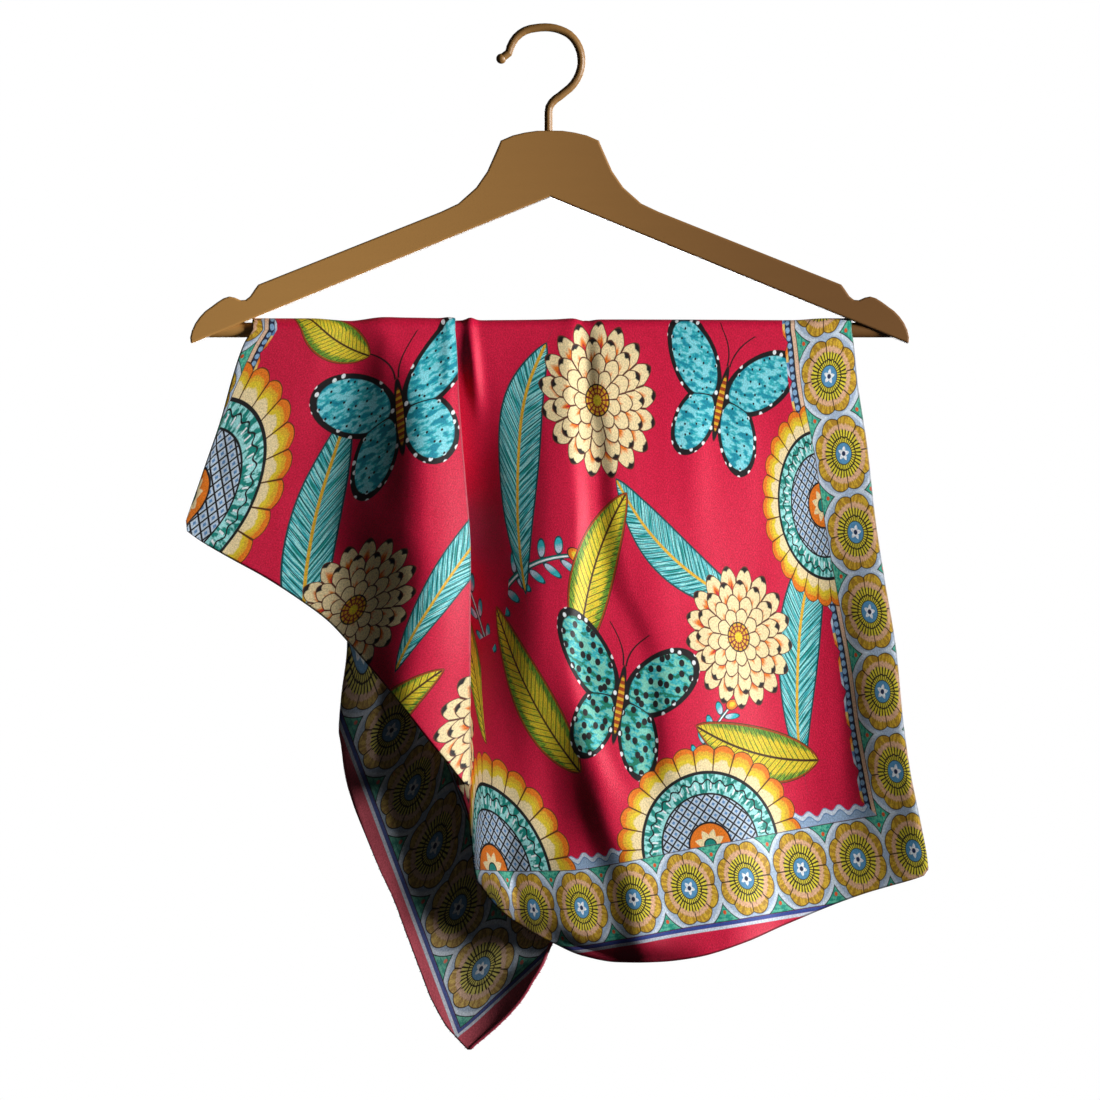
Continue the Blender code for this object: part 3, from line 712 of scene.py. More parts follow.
def smooth_through(places, values, at):
    """A smooth curve through a table that never overshoots it, one table for each point."""
    at = np.asarray(at, dtype=float)
    shape = (len(places),) + at.shape

    def for_each(column):
        column = np.asarray(column, dtype=float)
        return np.broadcast_to(column.reshape(column.shape + (1,) * (len(shape) - column.ndim)), shape)

    places, values = for_each(places), for_each(values)
    steps = np.maximum(np.diff(places, axis=0), 1e-6)
    slopes = np.diff(values, axis=0) / steps
    bends = np.zeros(shape)
    for i in range(1, len(places) - 1):
        same = slopes[i - 1] * slopes[i] > 0
        before, after = 2 * steps[i] + steps[i - 1], steps[i] + 2 * steps[i - 1]
        safe_before = np.where(same, slopes[i - 1], 1.0)
        safe_after = np.where(same, slopes[i], 1.0)
        mean = (before + after) / (before / safe_before + after / safe_after)
        bends[i] = np.where(same, mean, 0.0)
    bends[0], bends[-1] = slopes[0], slopes[-1]
    at = np.clip(at, places[0], places[-1])
    cell = np.sum(at >= places[1:-1], axis=0)[None]

    def before_it(table):
        return np.take_along_axis(table, cell, axis=0)[0]

    def after_it(table):
        return np.take_along_axis(table, cell + 1, axis=0)[0]

    span = before_it(steps)
    t = (at - before_it(places)) / span
    start = (1 + 2 * t) * (1 - t) ** 2 * before_it(values) + t * (1 - t) ** 2 * span * before_it(bends)
    finish = t * t * (3 - 2 * t) * after_it(values) - t * t * (1 - t) * span * after_it(bends)
    return start + finish


def sections_at(table, heights):
    """Each column of a table of sections, at any heights."""
    rows = np.asarray(table, dtype=float)[::-1]
    return [smooth_through(rows[:, 0], rows[:, k], heights) for k in range(1, rows.shape[1])]


def along(points, shares, inset=0.0):
    """Points at shares of the length of an outline, moved off it to one side by an inset."""
    points = np.asarray(points, dtype=float)
    steps = np.concatenate([[0.0], np.cumsum(np.linalg.norm(np.diff(points, axis=0), axis=1))])
    at = np.asarray(shares) * steps[-1]
    found = np.stack([smooth_through(steps, points[:, k], at) for k in (0, 1)], axis=-1)
    way = np.gradient(found, axis=0)
    way /= np.linalg.norm(way, axis=1, keepdims=True)
    return found + np.reshape(inset, (-1, 1)) * np.stack([way[:, 1], -way[:, 0]], axis=-1)


def stretch_between(top, foot, left, right):
    """A sheet between four edges; top and foot run left to right, the others downward."""
    a = np.linspace(0, 1, len(top))[None, :, None]
    b = np.linspace(0, 1, len(left))[:, None, None]
    level = (1 - b) * top[None] + b * foot[None]
    plumb = (1 - a) * left[:, None] + a * right[:, None]
    corners = ((1 - a) * (1 - b) * top[0] + a * (1 - b) * top[-1]
               + (1 - a) * b * foot[0] + a * b * foot[-1])
    return level + plumb - corners


def creases(table, x, z):
    """Depth of soft ridges and troughs as listed, each along its own line."""
    depth = np.zeros_like(x)
    for x0, z0, x1, z1, half, height in table:
        way = np.array([x1 - x0, z1 - z0])
        length = np.hypot(*way)
        share = ((x - x0) * way[0] + (z - z0) * way[1]) / length ** 2
        off = ((x - x0) * way[1] - (z - z0) * way[0]) / length
        ends = np.sin(math.pi * np.clip(share, 0, 1)) ** 2
        wide = half * (0.75 + 0.5 * np.clip(share, 0, 1))
        depth += height * ends * np.exp(-(off / wide) ** 2)
    return depth


def unevenness(x, z, seed, wide, tall, height):
    """Slow waves that no cloth is without."""
    flat = [noise.noise(Vector((u / wide, v / tall, seed)))
            for u, v in zip(x.ravel().tolist(), z.ravel().tolist())]
    return height * np.array(flat).reshape(x.shape)


def fold_under(way, radius):
    """Where a point at some way beyond a fold's start lies: forward of it and behind it."""
    turn = np.clip(way / radius, 0.0, math.pi)
    ahead = radius * np.sin(turn) - np.maximum(way - math.pi * radius, 0.0)
    behind = radius * (1 - np.cos(turn))
    return ahead, behind


def bend_and_strip(radius, width, bends, strips):
    """Ways of the columns of a doubled edge, from the first past the fold's start to its hem."""
    bend = math.pi * radius * np.arange(1, bends + 1) / bends
    return np.concatenate([bend, bend[-1] + width * np.arange(1, strips + 1) / strips])


def add_object(name, data):
    """A new object of the scene, at the origin."""
    item = bpy.data.objects.new(name, data)
    bpy.context.scene.collection.objects.link(item)
    return item


def make_sheet(name, points, cut_places, gone, painted_shade):
    """A grid of points in millimetres made into a thin closed shell.

    It keeps each point's place on the flat square, and how much painted shade darkens it there.
    """
    rows, columns = points.shape[:2]
    mesh = bpy.data.meshes.new(name)
    corners = np.arange(rows * columns).reshape(rows, columns)
    quads = np.stack([corners[:-1, :-1], corners[:-1, 1:], corners[1:, 1:], corners[1:, :-1]], axis=-1)
    mesh.from_pydata((points.reshape(-1, 3) * MM).tolist(), [], quads[~gone[:-1, :-1]].tolist())
    cut_map = mesh.uv_layers.new(name="cut")
    flat = cut_places.reshape(-1, 2) * MM
    which = np.empty(len(mesh.loops), dtype=np.int32)
    mesh.loops.foreach_get("vertex_index", which)
    cut_map.data.foreach_set("uv", flat[which].astype(np.float32).ravel())
    # Painted shade, carried to the print as a point attribute.
    painted_shade_layer = mesh.attributes.new("painted_shade", "FLOAT", "POINT")
    painted_shade_layer.data.foreach_set("value", painted_shade.astype(np.float32).ravel())
    item = add_object(name, mesh)
    mesh.materials.append(shaded_wrong_side_silk)
    mesh.materials.append(silk)
    tidy = bmesh.new()
    tidy.from_mesh(mesh)
    bmesh.ops.delete(tidy, geom=[v for v in tidy.verts if not v.link_faces], context="VERTS")
    tidy.to_mesh(mesh)
    tidy.free()
    thick = item.modifiers.new("wall", "SOLIDIFY")
    thick.thickness = SILK_WALL * MM
    thick.offset = 0.0
    thick.use_even_offset = False
    thick.material_offset = 1
    thick.material_offset_rim = 1
    bpy.ops.object.select_all(action="DESELECT")
    bpy.context.view_layer.objects.active = item
    item.select_set(True)
    bpy.ops.object.modifier_apply(modifier=thick.name)
    bpy.ops.object.shade_smooth_by_angle(angle=math.radians(50))
    item.select_set(False)
    return item


LEFT_COLUMNS, LEFT_ROWS = 96, 150
SIDE_BENDS, SIDE_STRIPS = 8, 10
PLEAT_BENDS, PLEAT_STRIPS = 8, 5
SLOPE_BENDS, SLOPE_STRIPS = 8, 10
FOLD_LOW = 1.2          # radius of the folds well below the bar
FOLD_AT_BAR = 0.8       # and where they are pressed over it
ROUND_BELOW = 45.0      # how far below the bar they are fully round
CORNER_PART = 0.16      # what a corner leaves of a fold's radius
HELD_ACROSS = 26.0      # a doubled side wedges the silk off the bar over this width
HELD_DOWN = 70.0        # and down to here
PRESSED_LENGTH = 40.0   # below the bar the weight still pulls the silk smooth this far
LEFT_DOUBLE = 38.0      # how far the left side is doubled back
LEFT_HELD_AT = -120.0   # the wedge starts here, to the left
SLOPE_DOUBLE = 36.0     # how far the slope is doubled back
PLEAT_OPENS = 0.15      # the share of the pleat's length over which it opens
PLEAT_DEPTH = -61.0     # where the pleat's hidden fold lies, across
PLEAT_LIFT = 0.9        # how far that fold stands off the layer behind it
PRINT_NARROW = 0.75     # the print stands this much narrower across the front
PRINT_AT_BAR = 372.0    # how far up the print the bar is, at the left
PRINT_TILT = 0.15       # and how much it rises to the right
LEFT_TOP = -181.0       # the left end of the silk on the bar
LEFT_SLIVER = (-308.0, -253.0, -185.0), (-4.0, 0.0, 7.0)    # heights, border shown there
PRESSED_SHADE = 0.8     # how dark the painted shade is in a pressed fold

LEFT_CREASES = (
    # from across and height, to across and height, half width, depth
    (-96.0, -170.0, -104.0, -250.0, 7.0, 0.7),
    (-60.0, -150.0, -60.0, -260.0, 4.0, 1.0),
    (-150.0, -170.0, -168.0, -310.0, 14.0, 0.8),
    (-216.0, -310.0, -140.0, -240.0, 12.0, -0.7),
)


def left_out(x, z):
    """How far the left stretch stands forward of its hanging line."""
    cut_at = sections_at(LEFT_SECTIONS, z)
    out = smooth_through(np.stack(cut_at[:LEFT_MARKS]), np.stack(cut_at[LEFT_MARKS:]), x)
    fall = np.clip((BAR_MIDDLE - z) / PRESSED_LENGTH, 0, 1)
    out = out + creases(LEFT_CREASES, x, z)
    return out + fall * unevenness(x, z, 3.7, 24.0, 80.0, 1.1)


def fold_radius(z):
    """Radius of the doubled edges: pressed flat at the bar, rounder below it."""
    return FOLD_AT_BAR + (FOLD_LOW - FOLD_AT_BAR) * eased((BAR_MIDDLE - z) / ROUND_BELOW)


def pressed(share, over):
    """Folds flatten towards a corner, over that share of their length."""
    return CORNER_PART + (1 - CORNER_PART) * eased(share / over)


def beside_double(way, z):
    """How far the silk is held off the bar by its own doubled edge, fading away from both."""
    return 2 * FOLD_AT_BAR * eased(way / HELD_ACROSS) * eased((z - BAR_MIDDLE) / HELD_DOWN + 1.0)


def lap(x):
    """How far the silk comes down behind the bar, to where it folds in over the back drop."""
    return LAP_LONG + 2.2 * np.sin(x / 31.0) + np.sin(x / 9.0 + 1.0)


def over_the_bar(points):
    """Adds the rows behind the bar and those that turn over it, above a drop's first row."""
    top = points[0]
    reach_out = -top[:, 1]
    wrapped = []
    for k in range(LAP_ROWS):
        share = 1 - k / LAP_ROWS
        wrapped.append(np.stack([top[:, 0], reach_out + LAP_SLACK * share,
                                 BAR_MIDDLE - share * lap(top[:, 0])], axis=-1))
    for k in range(TURN_ROWS):
        angle = math.pi * (1 - k / TURN_ROWS)
        wrapped.append(np.stack([top[:, 0], -reach_out * math.cos(angle),
                                 BAR_MIDDLE + reach_out * math.sin(angle)], axis=-1))
    return np.concatenate([np.array(wrapped), points])


def way_over_the_bar(x):
    """Length of silk from each of those rows to the drop's first row."""
    turn = math.pi * BAR_REACH
    behind = [turn + lap(x) * (1 - k / LAP_ROWS) for k in range(LAP_ROWS)]
    return np.array(behind + [np.full(len(x), turn * (1 - k / TURN_ROWS)) for k in range(TURN_ROWS)])


def distances(points):
    """Length along each row from its first point."""
    steps = np.linalg.norm(np.diff(points, axis=1), axis=2)
    return np.concatenate([np.zeros((len(points), 1)), np.cumsum(steps, axis=1)], axis=1)


def unit(ways):
    """Each of these directions, one long."""
    return ways / np.linalg.norm(ways, axis=1, keepdims=True)


def doubled_side(flat, edge, inner, out, radius, width):
    """A strip doubled back behind each row of a stretch, from its edge away from inner."""
    way_out = unit(edge - inner)
    strip = []
    for r in range(len(edge)):
        ahead, behind = fold_under(bend_and_strip(radius[r], width[r], SIDE_BENDS, SIDE_STRIPS), radius[r])
        px = edge[r, 0] + way_out[r, 0] * ahead
        pz = edge[r, 1] + way_out[r, 1] * ahead
        base = np.interp(px, flat[r, :, 0], out[r])
        strip.append(np.stack([px, -BAR_REACH - base + behind, pz], axis=-1))
    return np.array(strip)


def doubled_foot(foot, foot_out, out_at, radii, ways, first, columns):
    """Rows that go on past a stretch's foot and come back up behind it; none beside it."""
    down = unit(np.gradient(foot, axis=0))
    down = np.stack([down[:, 1], -down[:, 0]], axis=-1)
    extra = np.full((len(ways[0]), columns, 3), np.nan)
    for c in range(len(foot)):
        for k, way in enumerate(ways[c]):
            ahead, behind = fold_under(way, radii[c])
            px, pz = foot[c] + down[c] * ahead
            base = foot_out[c]
            if ahead < 0:
                base = out_at(np.array([px]), np.array([pz]))[0]
            extra[k, first + c] = (px, -BAR_REACH - base + behind, pz)
    return extra


def with_hidden_rows(u, v, body, ways, first):
    """Places on the square of all rows: the drop's own, with those over the bar and doubled."""
    v = np.concatenate([v[0][None] + way_over_the_bar(body[0, :, 0]), v])
    beyond = np.array([ways[min(max(c - first, 0), len(ways) - 1)] for c in range(u.shape[1])]).T
    u = np.concatenate([u, np.repeat(u[-1:], len(beyond), axis=0)])
    return np.stack([u, np.concatenate([v, v[-1:] - beyond])], axis=-1)


def squares_gone(rows):
    """The squares of the grid that have a corner missing."""
    none = np.isnan(rows[..., 0])
    gone = np.zeros(none.shape, bool)
    gone[:-1, :-1] = none[:-1, :-1] | none[1:, :-1] | none[:-1, 1:] | none[1:, 1:]
    return gone


def left_stretch():
    """Points of the whole left stretch and their places on the flat square."""
    a = np.linspace(0, 1, LEFT_COLUMNS + 1)
    b = np.linspace(0, 1, LEFT_ROWS + 1)
    side = along(LEFT_SIDE, b)
    radius = fold_radius(side[:, 1]) * pressed(1 - b, 0.22)
    side[:, 0] += radius + SILK_WALL / 2
    slope_radius = FOLD_LOW * pressed(a, 0.14) * pressed(1 - a, 0.10)
    slope = along(LEFT_SLOPE, a, inset=-(slope_radius + SILK_WALL / 2))
    pleat = along(PLEAT_EDGE, b)
    pleat[:, 0] -= 0.5 + 0.6 * np.minimum(1.0, b / PLEAT_OPENS)
    slope[0], slope[-1] = side[-1], pleat[-1]
    top = np.stack([np.linspace(side[0, 0], pleat[0, 0], LEFT_COLUMNS + 1),
                    np.full(LEFT_COLUMNS + 1, BAR_MIDDLE)], axis=-1)
    flat = stretch_between(top, slope, side, pleat)
    x, z = flat[..., 0], flat[..., 1]
    out = left_out(x, z)
    out = np.hypot(out, beside_double(LEFT_HELD_AT - x, z))
    panel = np.stack([x, -BAR_REACH - out, z], axis=-1)

    # Doubled left side, hem first.
    width = LEFT_DOUBLE * np.clip((1.0 - b) / 0.18, 0.02, 1.0)
    left_part = doubled_side(flat, flat[:, 0], flat[:, 1], out, radius, width)[:, ::-1]

    # Doubled pleat, which goes back under the left stretch to the right one's hidden side.
    right_part = []
    for r in range(LEFT_ROWS + 1):
        lift = 0.45 + 0.55 * min(1.0, b[r] / PLEAT_OPENS)
        ways = bend_and_strip(lift, 1.0, PLEAT_BENDS, 1)[:-1]
        ahead, behind = fold_under(ways, lift)
        edge_x, edge_z = flat[r, -1]
        bend = np.stack([edge_x + ahead, -BAR_REACH - out[r, -1] + behind,
                         np.full(PLEAT_BENDS, edge_z)], axis=-1)
        hidden = max(PLEAT_DEPTH, np.interp(-edge_z, -slope[:, 1], slope[:, 0]) + 3.0)
        shares = np.arange(1, PLEAT_STRIPS + 1) / PLEAT_STRIPS
        back_x = edge_x + (min(hidden, edge_x - 1.0) - edge_x) * shares
        back_y = bend[-1, 1] + (-BAR_REACH - PLEAT_LIFT - bend[-1, 1]) * shares
        strip = np.stack([back_x, back_y, np.full(PLEAT_STRIPS, edge_z)], axis=-1)
        right_part.append(np.concatenate([bend, strip]))
    right_part = np.array(right_part)
    rows = np.concatenate([left_part, panel, right_part], axis=1)

    # Doubled slope: the panel goes on past its foot and comes back up behind.
    first = left_part.shape[1]
    slope_width = SLOPE_DOUBLE * np.clip(a / 0.25, 0.03, 1.0) * np.clip((1.0 - a) / 0.35, 0.06, 1.0)
    ways = [bend_and_strip(r, w, SLOPE_BENDS, SLOPE_STRIPS) for r, w in zip(slope_radius, slope_width)]
    extra = doubled_foot(flat[-1], out[-1], left_out, slope_radius, ways, first, rows.shape[1])
    rows = over_the_bar(rows)
    wrapped = rows.shape[0]
    rows = np.concatenate([rows, extra])

    # Places on the square.
    run = distances(rows[:wrapped])
    from_edge = run - run[:, first:first + 1]
    heights = np.concatenate([np.full(WRAP_ROWS, BAR_MIDDLE), flat[:, 0, 1]])
    sliver = np.interp(heights, *LEFT_SLIVER)
    u = BAND_MIDDLE + BAND_HALF + (from_edge - sliver[:, None]) / PRINT_NARROW
    body = rows[WRAP_ROWS:wrapped]
    v = PRINT_AT_BAR - (BAR_MIDDLE - body[..., 2]) + PRINT_TILT * (body[..., 0] - LEFT_TOP)
    places = with_hidden_rows(u, v, body, ways, first)
    # Painted shade: darker on the lap's end and in the bends of the doubled side and the slope, less so in
    # the pleat's bend.
    painted_shade = np.zeros(rows.shape[:2])
    painted_shade[0] = PRESSED_SHADE
    painted_shade[:, first - SIDE_BENDS:first] = 1.0
    painted_shade[:, first + LEFT_COLUMNS + 1:first + LEFT_COLUMNS + 1 + PLEAT_BENDS] = PRESSED_SHADE
    painted_shade[wrapped:wrapped + SLOPE_BENDS] = 1.0
    return np.nan_to_num(rows), places, squares_gone(rows), painted_shade


points, places, gone, painted_shade = left_stretch()
front_left = make_sheet("front_left", points, places, gone, painted_shade)
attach(front_left, "root")
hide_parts("scarf_front_left", "scarf_left_turn", "scarf_pleat_turn")


# ---- Front drop, right stretch ---------------------------------------------------------
# The wide stretch right of the pleat. Its right side and its hem are turned under, and a
# ridge runs down its left third. The margin shows at the lowest part of the hem.

RIGHT_MARKS = 9
RIGHT_SECTIONS = (
    # height, then hidden, valley, shoulder, ridge, dip, crease, flat, flare and edge: where
    # each is across, and how far out each is
    (-185.1, -64.0, -61.0, 6.0, 17.0, 21.5, 26.0, 35.0, 158.0, 189.6,
     0.0, 0.1, 1.0, 1.6, 0.8, 0.5, 0.9, 0.4, 0.0),
    (-194.4, -63.0, -60.0, 5.0, 15.5, 21.0, 26.0, 35.0, 158.0, 191.0,
     0.0, 0.1, 1.9, 2.6, 1.3, 1.0, 1.9, 0.5, 0.6),
    (-216.1, -62.0, -59.5, 3.0, 13.0, 20.0, 26.0, 36.0, 158.0, 193.2,
     0.0, 0.1, 5.4, 6.2, 4.4, 3.8, 5.4, 0.8, 1.4),
    (-259.5, -60.0, -58.0, 3.0, 15.0, 26.0, 32.0, 42.0, 160.5, 199.6,
     0.0, 0.1, 13.0, 13.8, 10.4, 9.4, 11.2, 0.8, 3.0),
    (-302.9, -58.0, -56.5, 4.0, 18.0, 28.0, 34.0, 45.0, 162.5, 204.4,
     0.0, 0.1, 17.2, 18.0, 13.6, 12.4, 14.4, 0.8, 5.6),
    (-340.1, -57.5, -56.0, 2.0, 16.0, 28.0, 38.0, 52.0, 163.0, 210.0,
     0.0, 0.1, 18.2, 19.0, 15.2, 13.6, 15.4, 0.8, 9.0),
    (-383.5, -57.0, -55.5, 0.0, 12.0, 23.0, 58.0, 71.0, 163.5, 217.0,
     0.0, 0.1, 17.6, 18.6, 15.6, 14.0, 15.4, 1.0, 13.0),
    (-426.9, -57.0, -55.5, 7.0, 21.0, 34.0, 62.0, 74.0, 165.0, 221.2,
     0.0, 0.3, 15.8, 18.4, 15.4, 14.2, 15.4, 1.6, 16.0),
    (-457.9, -57.0, -55.0, 14.0, 32.0, 45.0, 66.0, 79.0, 165.3, 225.4,
     0.0, 0.5, 12.4, 17.6, 14.8, 13.8, 14.6, 2.4, 18.0),
    (-488.9, -57.0, -54.0, 22.0, 41.0, 70.0, 84.0, 104.0, 165.3, 231.6,
     0.0, 0.8, 9.4, 16.4, 13.4, 12.8, 12.8, 3.2, 19.0),
    (-526.1, -47.0, -38.0, 34.0, 55.0, 76.0, 88.0, 108.0, 167.2, 236.0,
     0.0, 0.4, 8.8, 15.4, 13.2, 12.6, 12.2, 4.2, 19.0),
    (-578.0, -47.0, -30.0, 44.0, 63.0, 80.0, 90.0, 110.0, 169.0, 236.0,
     0.0, 0.4, 9.0, 15.4, 13.2, 12.6, 12.4, 4.2, 19.0),
)
HIDDEN_SIDE = (
    # across, height
    (-64.0, -185.1),
    (-62.0, -216.1),
    (-58.5, -302.9),
    (-57.0, -383.5),
    (-57.0, -460.0),
)
RIGHT_SIDE = (
    (189.6, -185.1),
    (191.0, -194.4),
    (193.2, -216.1),
    (199.6, -259.5),
    (204.4, -302.9),
    (210.0, -340.1),
    (217.0, -383.5),
    (221.2, -426.9),
    (225.4, -457.9),
    (231.6, -488.9),
    (235.6, -512.0),
    (236.2, -518.0),
)
LOWER_HEM = (
    (-57.0, -462.0),
    (-51.5, -475.0),
    (-48.0, -486.5),
    (-45.8, -507.0),
    (-43.3, -525.0),
    (-38.4, -532.5),
    (-31.6, -541.2),
    (-17.4, -552.9),
    (4.7, -565.0),
    (23.3, -573.0),
    (46.3, -577.0),
    (71.0, -576.2),
    (92.8, -573.3),
    (123.8, -563.8),
    (147.3, -553.8),
    (198.2, -533.6),
    (211.0, -529.6),
    (229.2, -523.9),
    (235.4, -521.4),
)
BAND_LINE = (
    # across, height of the lower band's rosettes
    (-57.0, -542.0),
    (-22.6, -544.1),
    (13.2, -543.4),
    (49.0, -537.8),
    (84.5, -531.0),
    (120.7, -524.9),
    (157.2, -518.8),
    (193.1, -512.7),
    (227.3, -506.8),
    (240.0, -504.6),
)
BAND_FROM_EDGE = (
    # height, the side band's centre from the right fold
    (-185.1, 16.4),
    (-211.8, 16.1),
    (-263.0, 13.8),
    (-311.0, 12.4),
    (-360.3, 12.0),
    (-409.8, 11.0),
    (-458.6, 9.0),
    (-520.0, 8.0),
)
RIGHT_CREASES = (
    # from across and height, to across and height, half width, depth
    (24.0, -150.0, 27.0, -260.0, 4.0, -1.0),
    (-49.0, -160.0, -40.0, -250.0, 3.6, 3.0),
    (68.0, -370.0, 64.0, -500.0, 7.0, -1.4),
    (-30.0, -180.0, -20.0, -360.0, 9.0, 0.6),
    (-8.0, -340.0, 10.0, -560.0, 9.0, -0.8),
    (118.0, -170.0, 130.0, -450.0, 20.0, 0.8),
    (90.0, -180.0, 96.0, -380.0, 9.0, 0.5),
    (176.0, -300.0, 198.0, -560.0, 9.0, -1.0),
    (12.0, -470.0, 19.0, -648.0, 13.0, 3.2),
    (-26.0, -460.0, -22.0, -630.0, 12.0, -2.4),
)
RIGHT_COLUMNS, RIGHT_ROWS = 156, 196
HEM_BENDS, HEM_STRIPS = 8, 6
RIGHT_HELD_AT = 148.0   # where the wedge of the doubled side starts, to the right
RIGHT_DOUBLE = (-520.0, -490.0, -185.0), (2.0, 18.0, 17.0)    # heights, how far it is doubled
CURL_DEEP, CURL_TALL = 14.0, 16.0    # how far the hem rolls back, over what height
HEM_DOUBLE = 22.0       # the most of the margin that the hem is doubled by
FOOT_SHADE = 13.0       # how far up from the hem the painted shade reaches
RIGHT_TIGHTER = 0.056   # how much of the print's height is lost in slack at the right


def curled(x):
    """How much of the hem is rolled under there, from none to all."""
    return eased((x + 6.0) / 26.0) * eased((104.0 - x) / 64.0)


def right_out(x, z):
    """How far the right stretch stands forward of its hanging line."""
    cut_at = sections_at(RIGHT_SECTIONS, z)
    out = smooth_through(np.stack(cut_at[:RIGHT_MARKS]), np.stack(cut_at[RIGHT_MARKS:]), x)
    fall = np.clip((BAR_MIDDLE - z) / PRESSED_LENGTH, 0, 1)
    out = out + creases(RIGHT_CREASES, x, z)
    out = out + fall * unevenness(x, z, 9.1, 26.0, 90.0, 1.0)
    foot = smooth_through(*np.array(LOWER_HEM)[5:].T, x)
    return out - CURL_DEEP * curled(x) * np.clip((foot + CURL_TALL - z) / CURL_TALL, 0, 1) ** 2


def right_stretch():
    """Points of the whole right stretch and their places on the flat square."""
    a = np.linspace(0, 1, RIGHT_COLUMNS + 1)
    b = np.linspace(0, 1, RIGHT_ROWS + 1)
    hidden = along(HIDDEN_SIDE, b)
    side = along(RIGHT_SIDE, b)
    radius = fold_radius(side[:, 1]) * pressed(1 - b, 0.10)
    side[:, 0] -= radius + SILK_WALL / 2
    hem_at = along(LOWER_HEM, a)[:, 0]
    hem_radius = (FOLD_LOW + 1.6 * curled(hem_at)) * pressed(a, 0.06) * pressed(1 - a, 0.06)
    foot = along(LOWER_HEM, a, inset=-(hem_radius + SILK_WALL / 2))
    foot[0] = hidden[-1]
    foot[-1] = side[-1]
    top = np.stack([np.linspace(hidden[0, 0], side[0, 0], RIGHT_COLUMNS + 1),
                    np.full(RIGHT_COLUMNS + 1, BAR_MIDDLE)], axis=-1)
    flat = stretch_between(top, foot, hidden, side)
    x, z = flat[..., 0], flat[..., 1]
    out = right_out(x, z)
    out = np.hypot(out, beside_double(x - RIGHT_HELD_AT, z))
    panel = np.stack([x, -BAR_REACH - out, z], axis=-1)

    # Doubled right side.
    width = np.interp(z[:, -1], *RIGHT_DOUBLE)
    right_part = doubled_side(flat, flat[:, -1], flat[:, -2], out, radius, width)
    rows = np.concatenate([panel, right_part], axis=1)

    # Turned-up hem, narrower towards its two ends.
    band_z = smooth_through(*np.array(BAND_LINE).T, flat[-1, :, 0])
    margin = np.clip(BAND_MIDDLE + (flat[-1, :, 1] - band_z) - 2.0, 2.0, HEM_DOUBLE)
    hem_width = margin * np.clip((1.0 - a) / 0.06, 0.08, 1.0) * np.clip(a / 0.06, 0.08, 1.0)
    ways = [bend_and_strip(r, w, HEM_BENDS, HEM_STRIPS) for r, w in zip(hem_radius, hem_width)]
    extra = doubled_foot(flat[-1], out[-1], right_out, hem_radius, ways, 0, rows.shape[1])
    rows = over_the_bar(rows)
    wrapped = rows.shape[0]
    rows = np.concatenate([rows, extra])

    # Places on the square.
    run = distances(rows[:wrapped])
    from_edge = run[:, RIGHT_COLUMNS:RIGHT_COLUMNS + 1] - run
    heights = np.concatenate([np.full(WRAP_ROWS, BAR_MIDDLE), flat[:, -1, 1]])
    centre = smooth_through(*np.array(BAND_FROM_EDGE)[::-1].T, heights)
    u = SQUARE - BAND_MIDDLE - (from_edge - centre[:, None]) / PRINT_NARROW
    body = rows[WRAP_ROWS:wrapped]
    band_z = smooth_through(*np.array(BAND_LINE).T, body[..., 0])
    tighter = 1.0 - RIGHT_TIGHTER * np.clip((body[..., 0] - 60.0) / 130.0, 0, 1)
    v = BAND_MIDDLE + (body[..., 2] - band_z) * tighter
    places = with_hidden_rows(u, v, body, ways, 0)
    # Painted shade: darker on the lap's end, in the bends of the right side and the hem, and above the
    # lowest fold, fading out to the right.
    painted_shade = np.zeros(rows.shape[:2])
    painted_shade[0] = PRESSED_SHADE
    painted_shade[:, RIGHT_COLUMNS + 1:RIGHT_COLUMNS + 1 + SIDE_BENDS] = 1.0
    painted_shade[wrapped:wrapped + HEM_BENDS] = 1.0
    near = np.exp(-((z - flat[-1:, :, 1]) / FOOT_SHADE) ** 2) * np.clip((99.0 - x) / 27.0, 0, 1)
    painted_shade[WRAP_ROWS:wrapped, :RIGHT_COLUMNS + 1] = 0.9 * near
    return np.nan_to_num(rows), places, squares_gone(rows), painted_shade


points, places, gone, painted_shade = right_stretch()
front_right = make_sheet("front_right", points, places, gone, painted_shade)
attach(front_right, "root")
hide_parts("scarf_front_right", "scarf_right_turn", "scarf_bottom_turn")


# ---- Back drop -------------------------------------------------------------------------
# Behind the bar the silk hangs in gathers toward one corner of the square, which shows
# below the front with its inner face. Its edge is a hem rolled by hand.

BACK_SECTIONS = (
    # height, left side, right side
    (-185.1, -181.6, 187.2),
    (-300.0, -136.0, 129.4),
    (-340.0, -124.0, 109.2),
    (-379.8, -121.3, 89.2),
    (-414.5, -125.2, 71.7),
    (-434.0, -126.6, 61.9),
    (-442.0, -125.4, 58.4),
    (-459.0, -123.2, 51.0),
    (-479.0, -118.2, 42.5),
    (-499.0, -111.4, 34.0),
    (-519.0, -103.3, 25.5),
    (-539.0, -94.0, 16.0),
    (-559.0, -86.6, 6.6),
    (-568.3, -83.0, 2.2),
    (-578.5, -79.2, -2.0),
    (-588.0, -75.5, -7.8),
    (-598.0, -71.7, -13.6),
    (-608.0, -66.6, -21.6),
    (-618.0, -60.6, -31.6),
    (-624.5, -54.6, -39.0),
    (-629.0, -50.4, -44.4),
    (-631.4, -48.0, -46.9),
)
BACK_GATHERS = (
    # across at the bar, across at the foot, half width at the bar, half width below, depth
    (-118.0, -80.0, 30.0, 16.0, 9.0),
    (-22.0, -58.0, 34.0, 15.0, 12.0),
    (96.0, -40.0, 36.0, 14.0, 10.0),
)
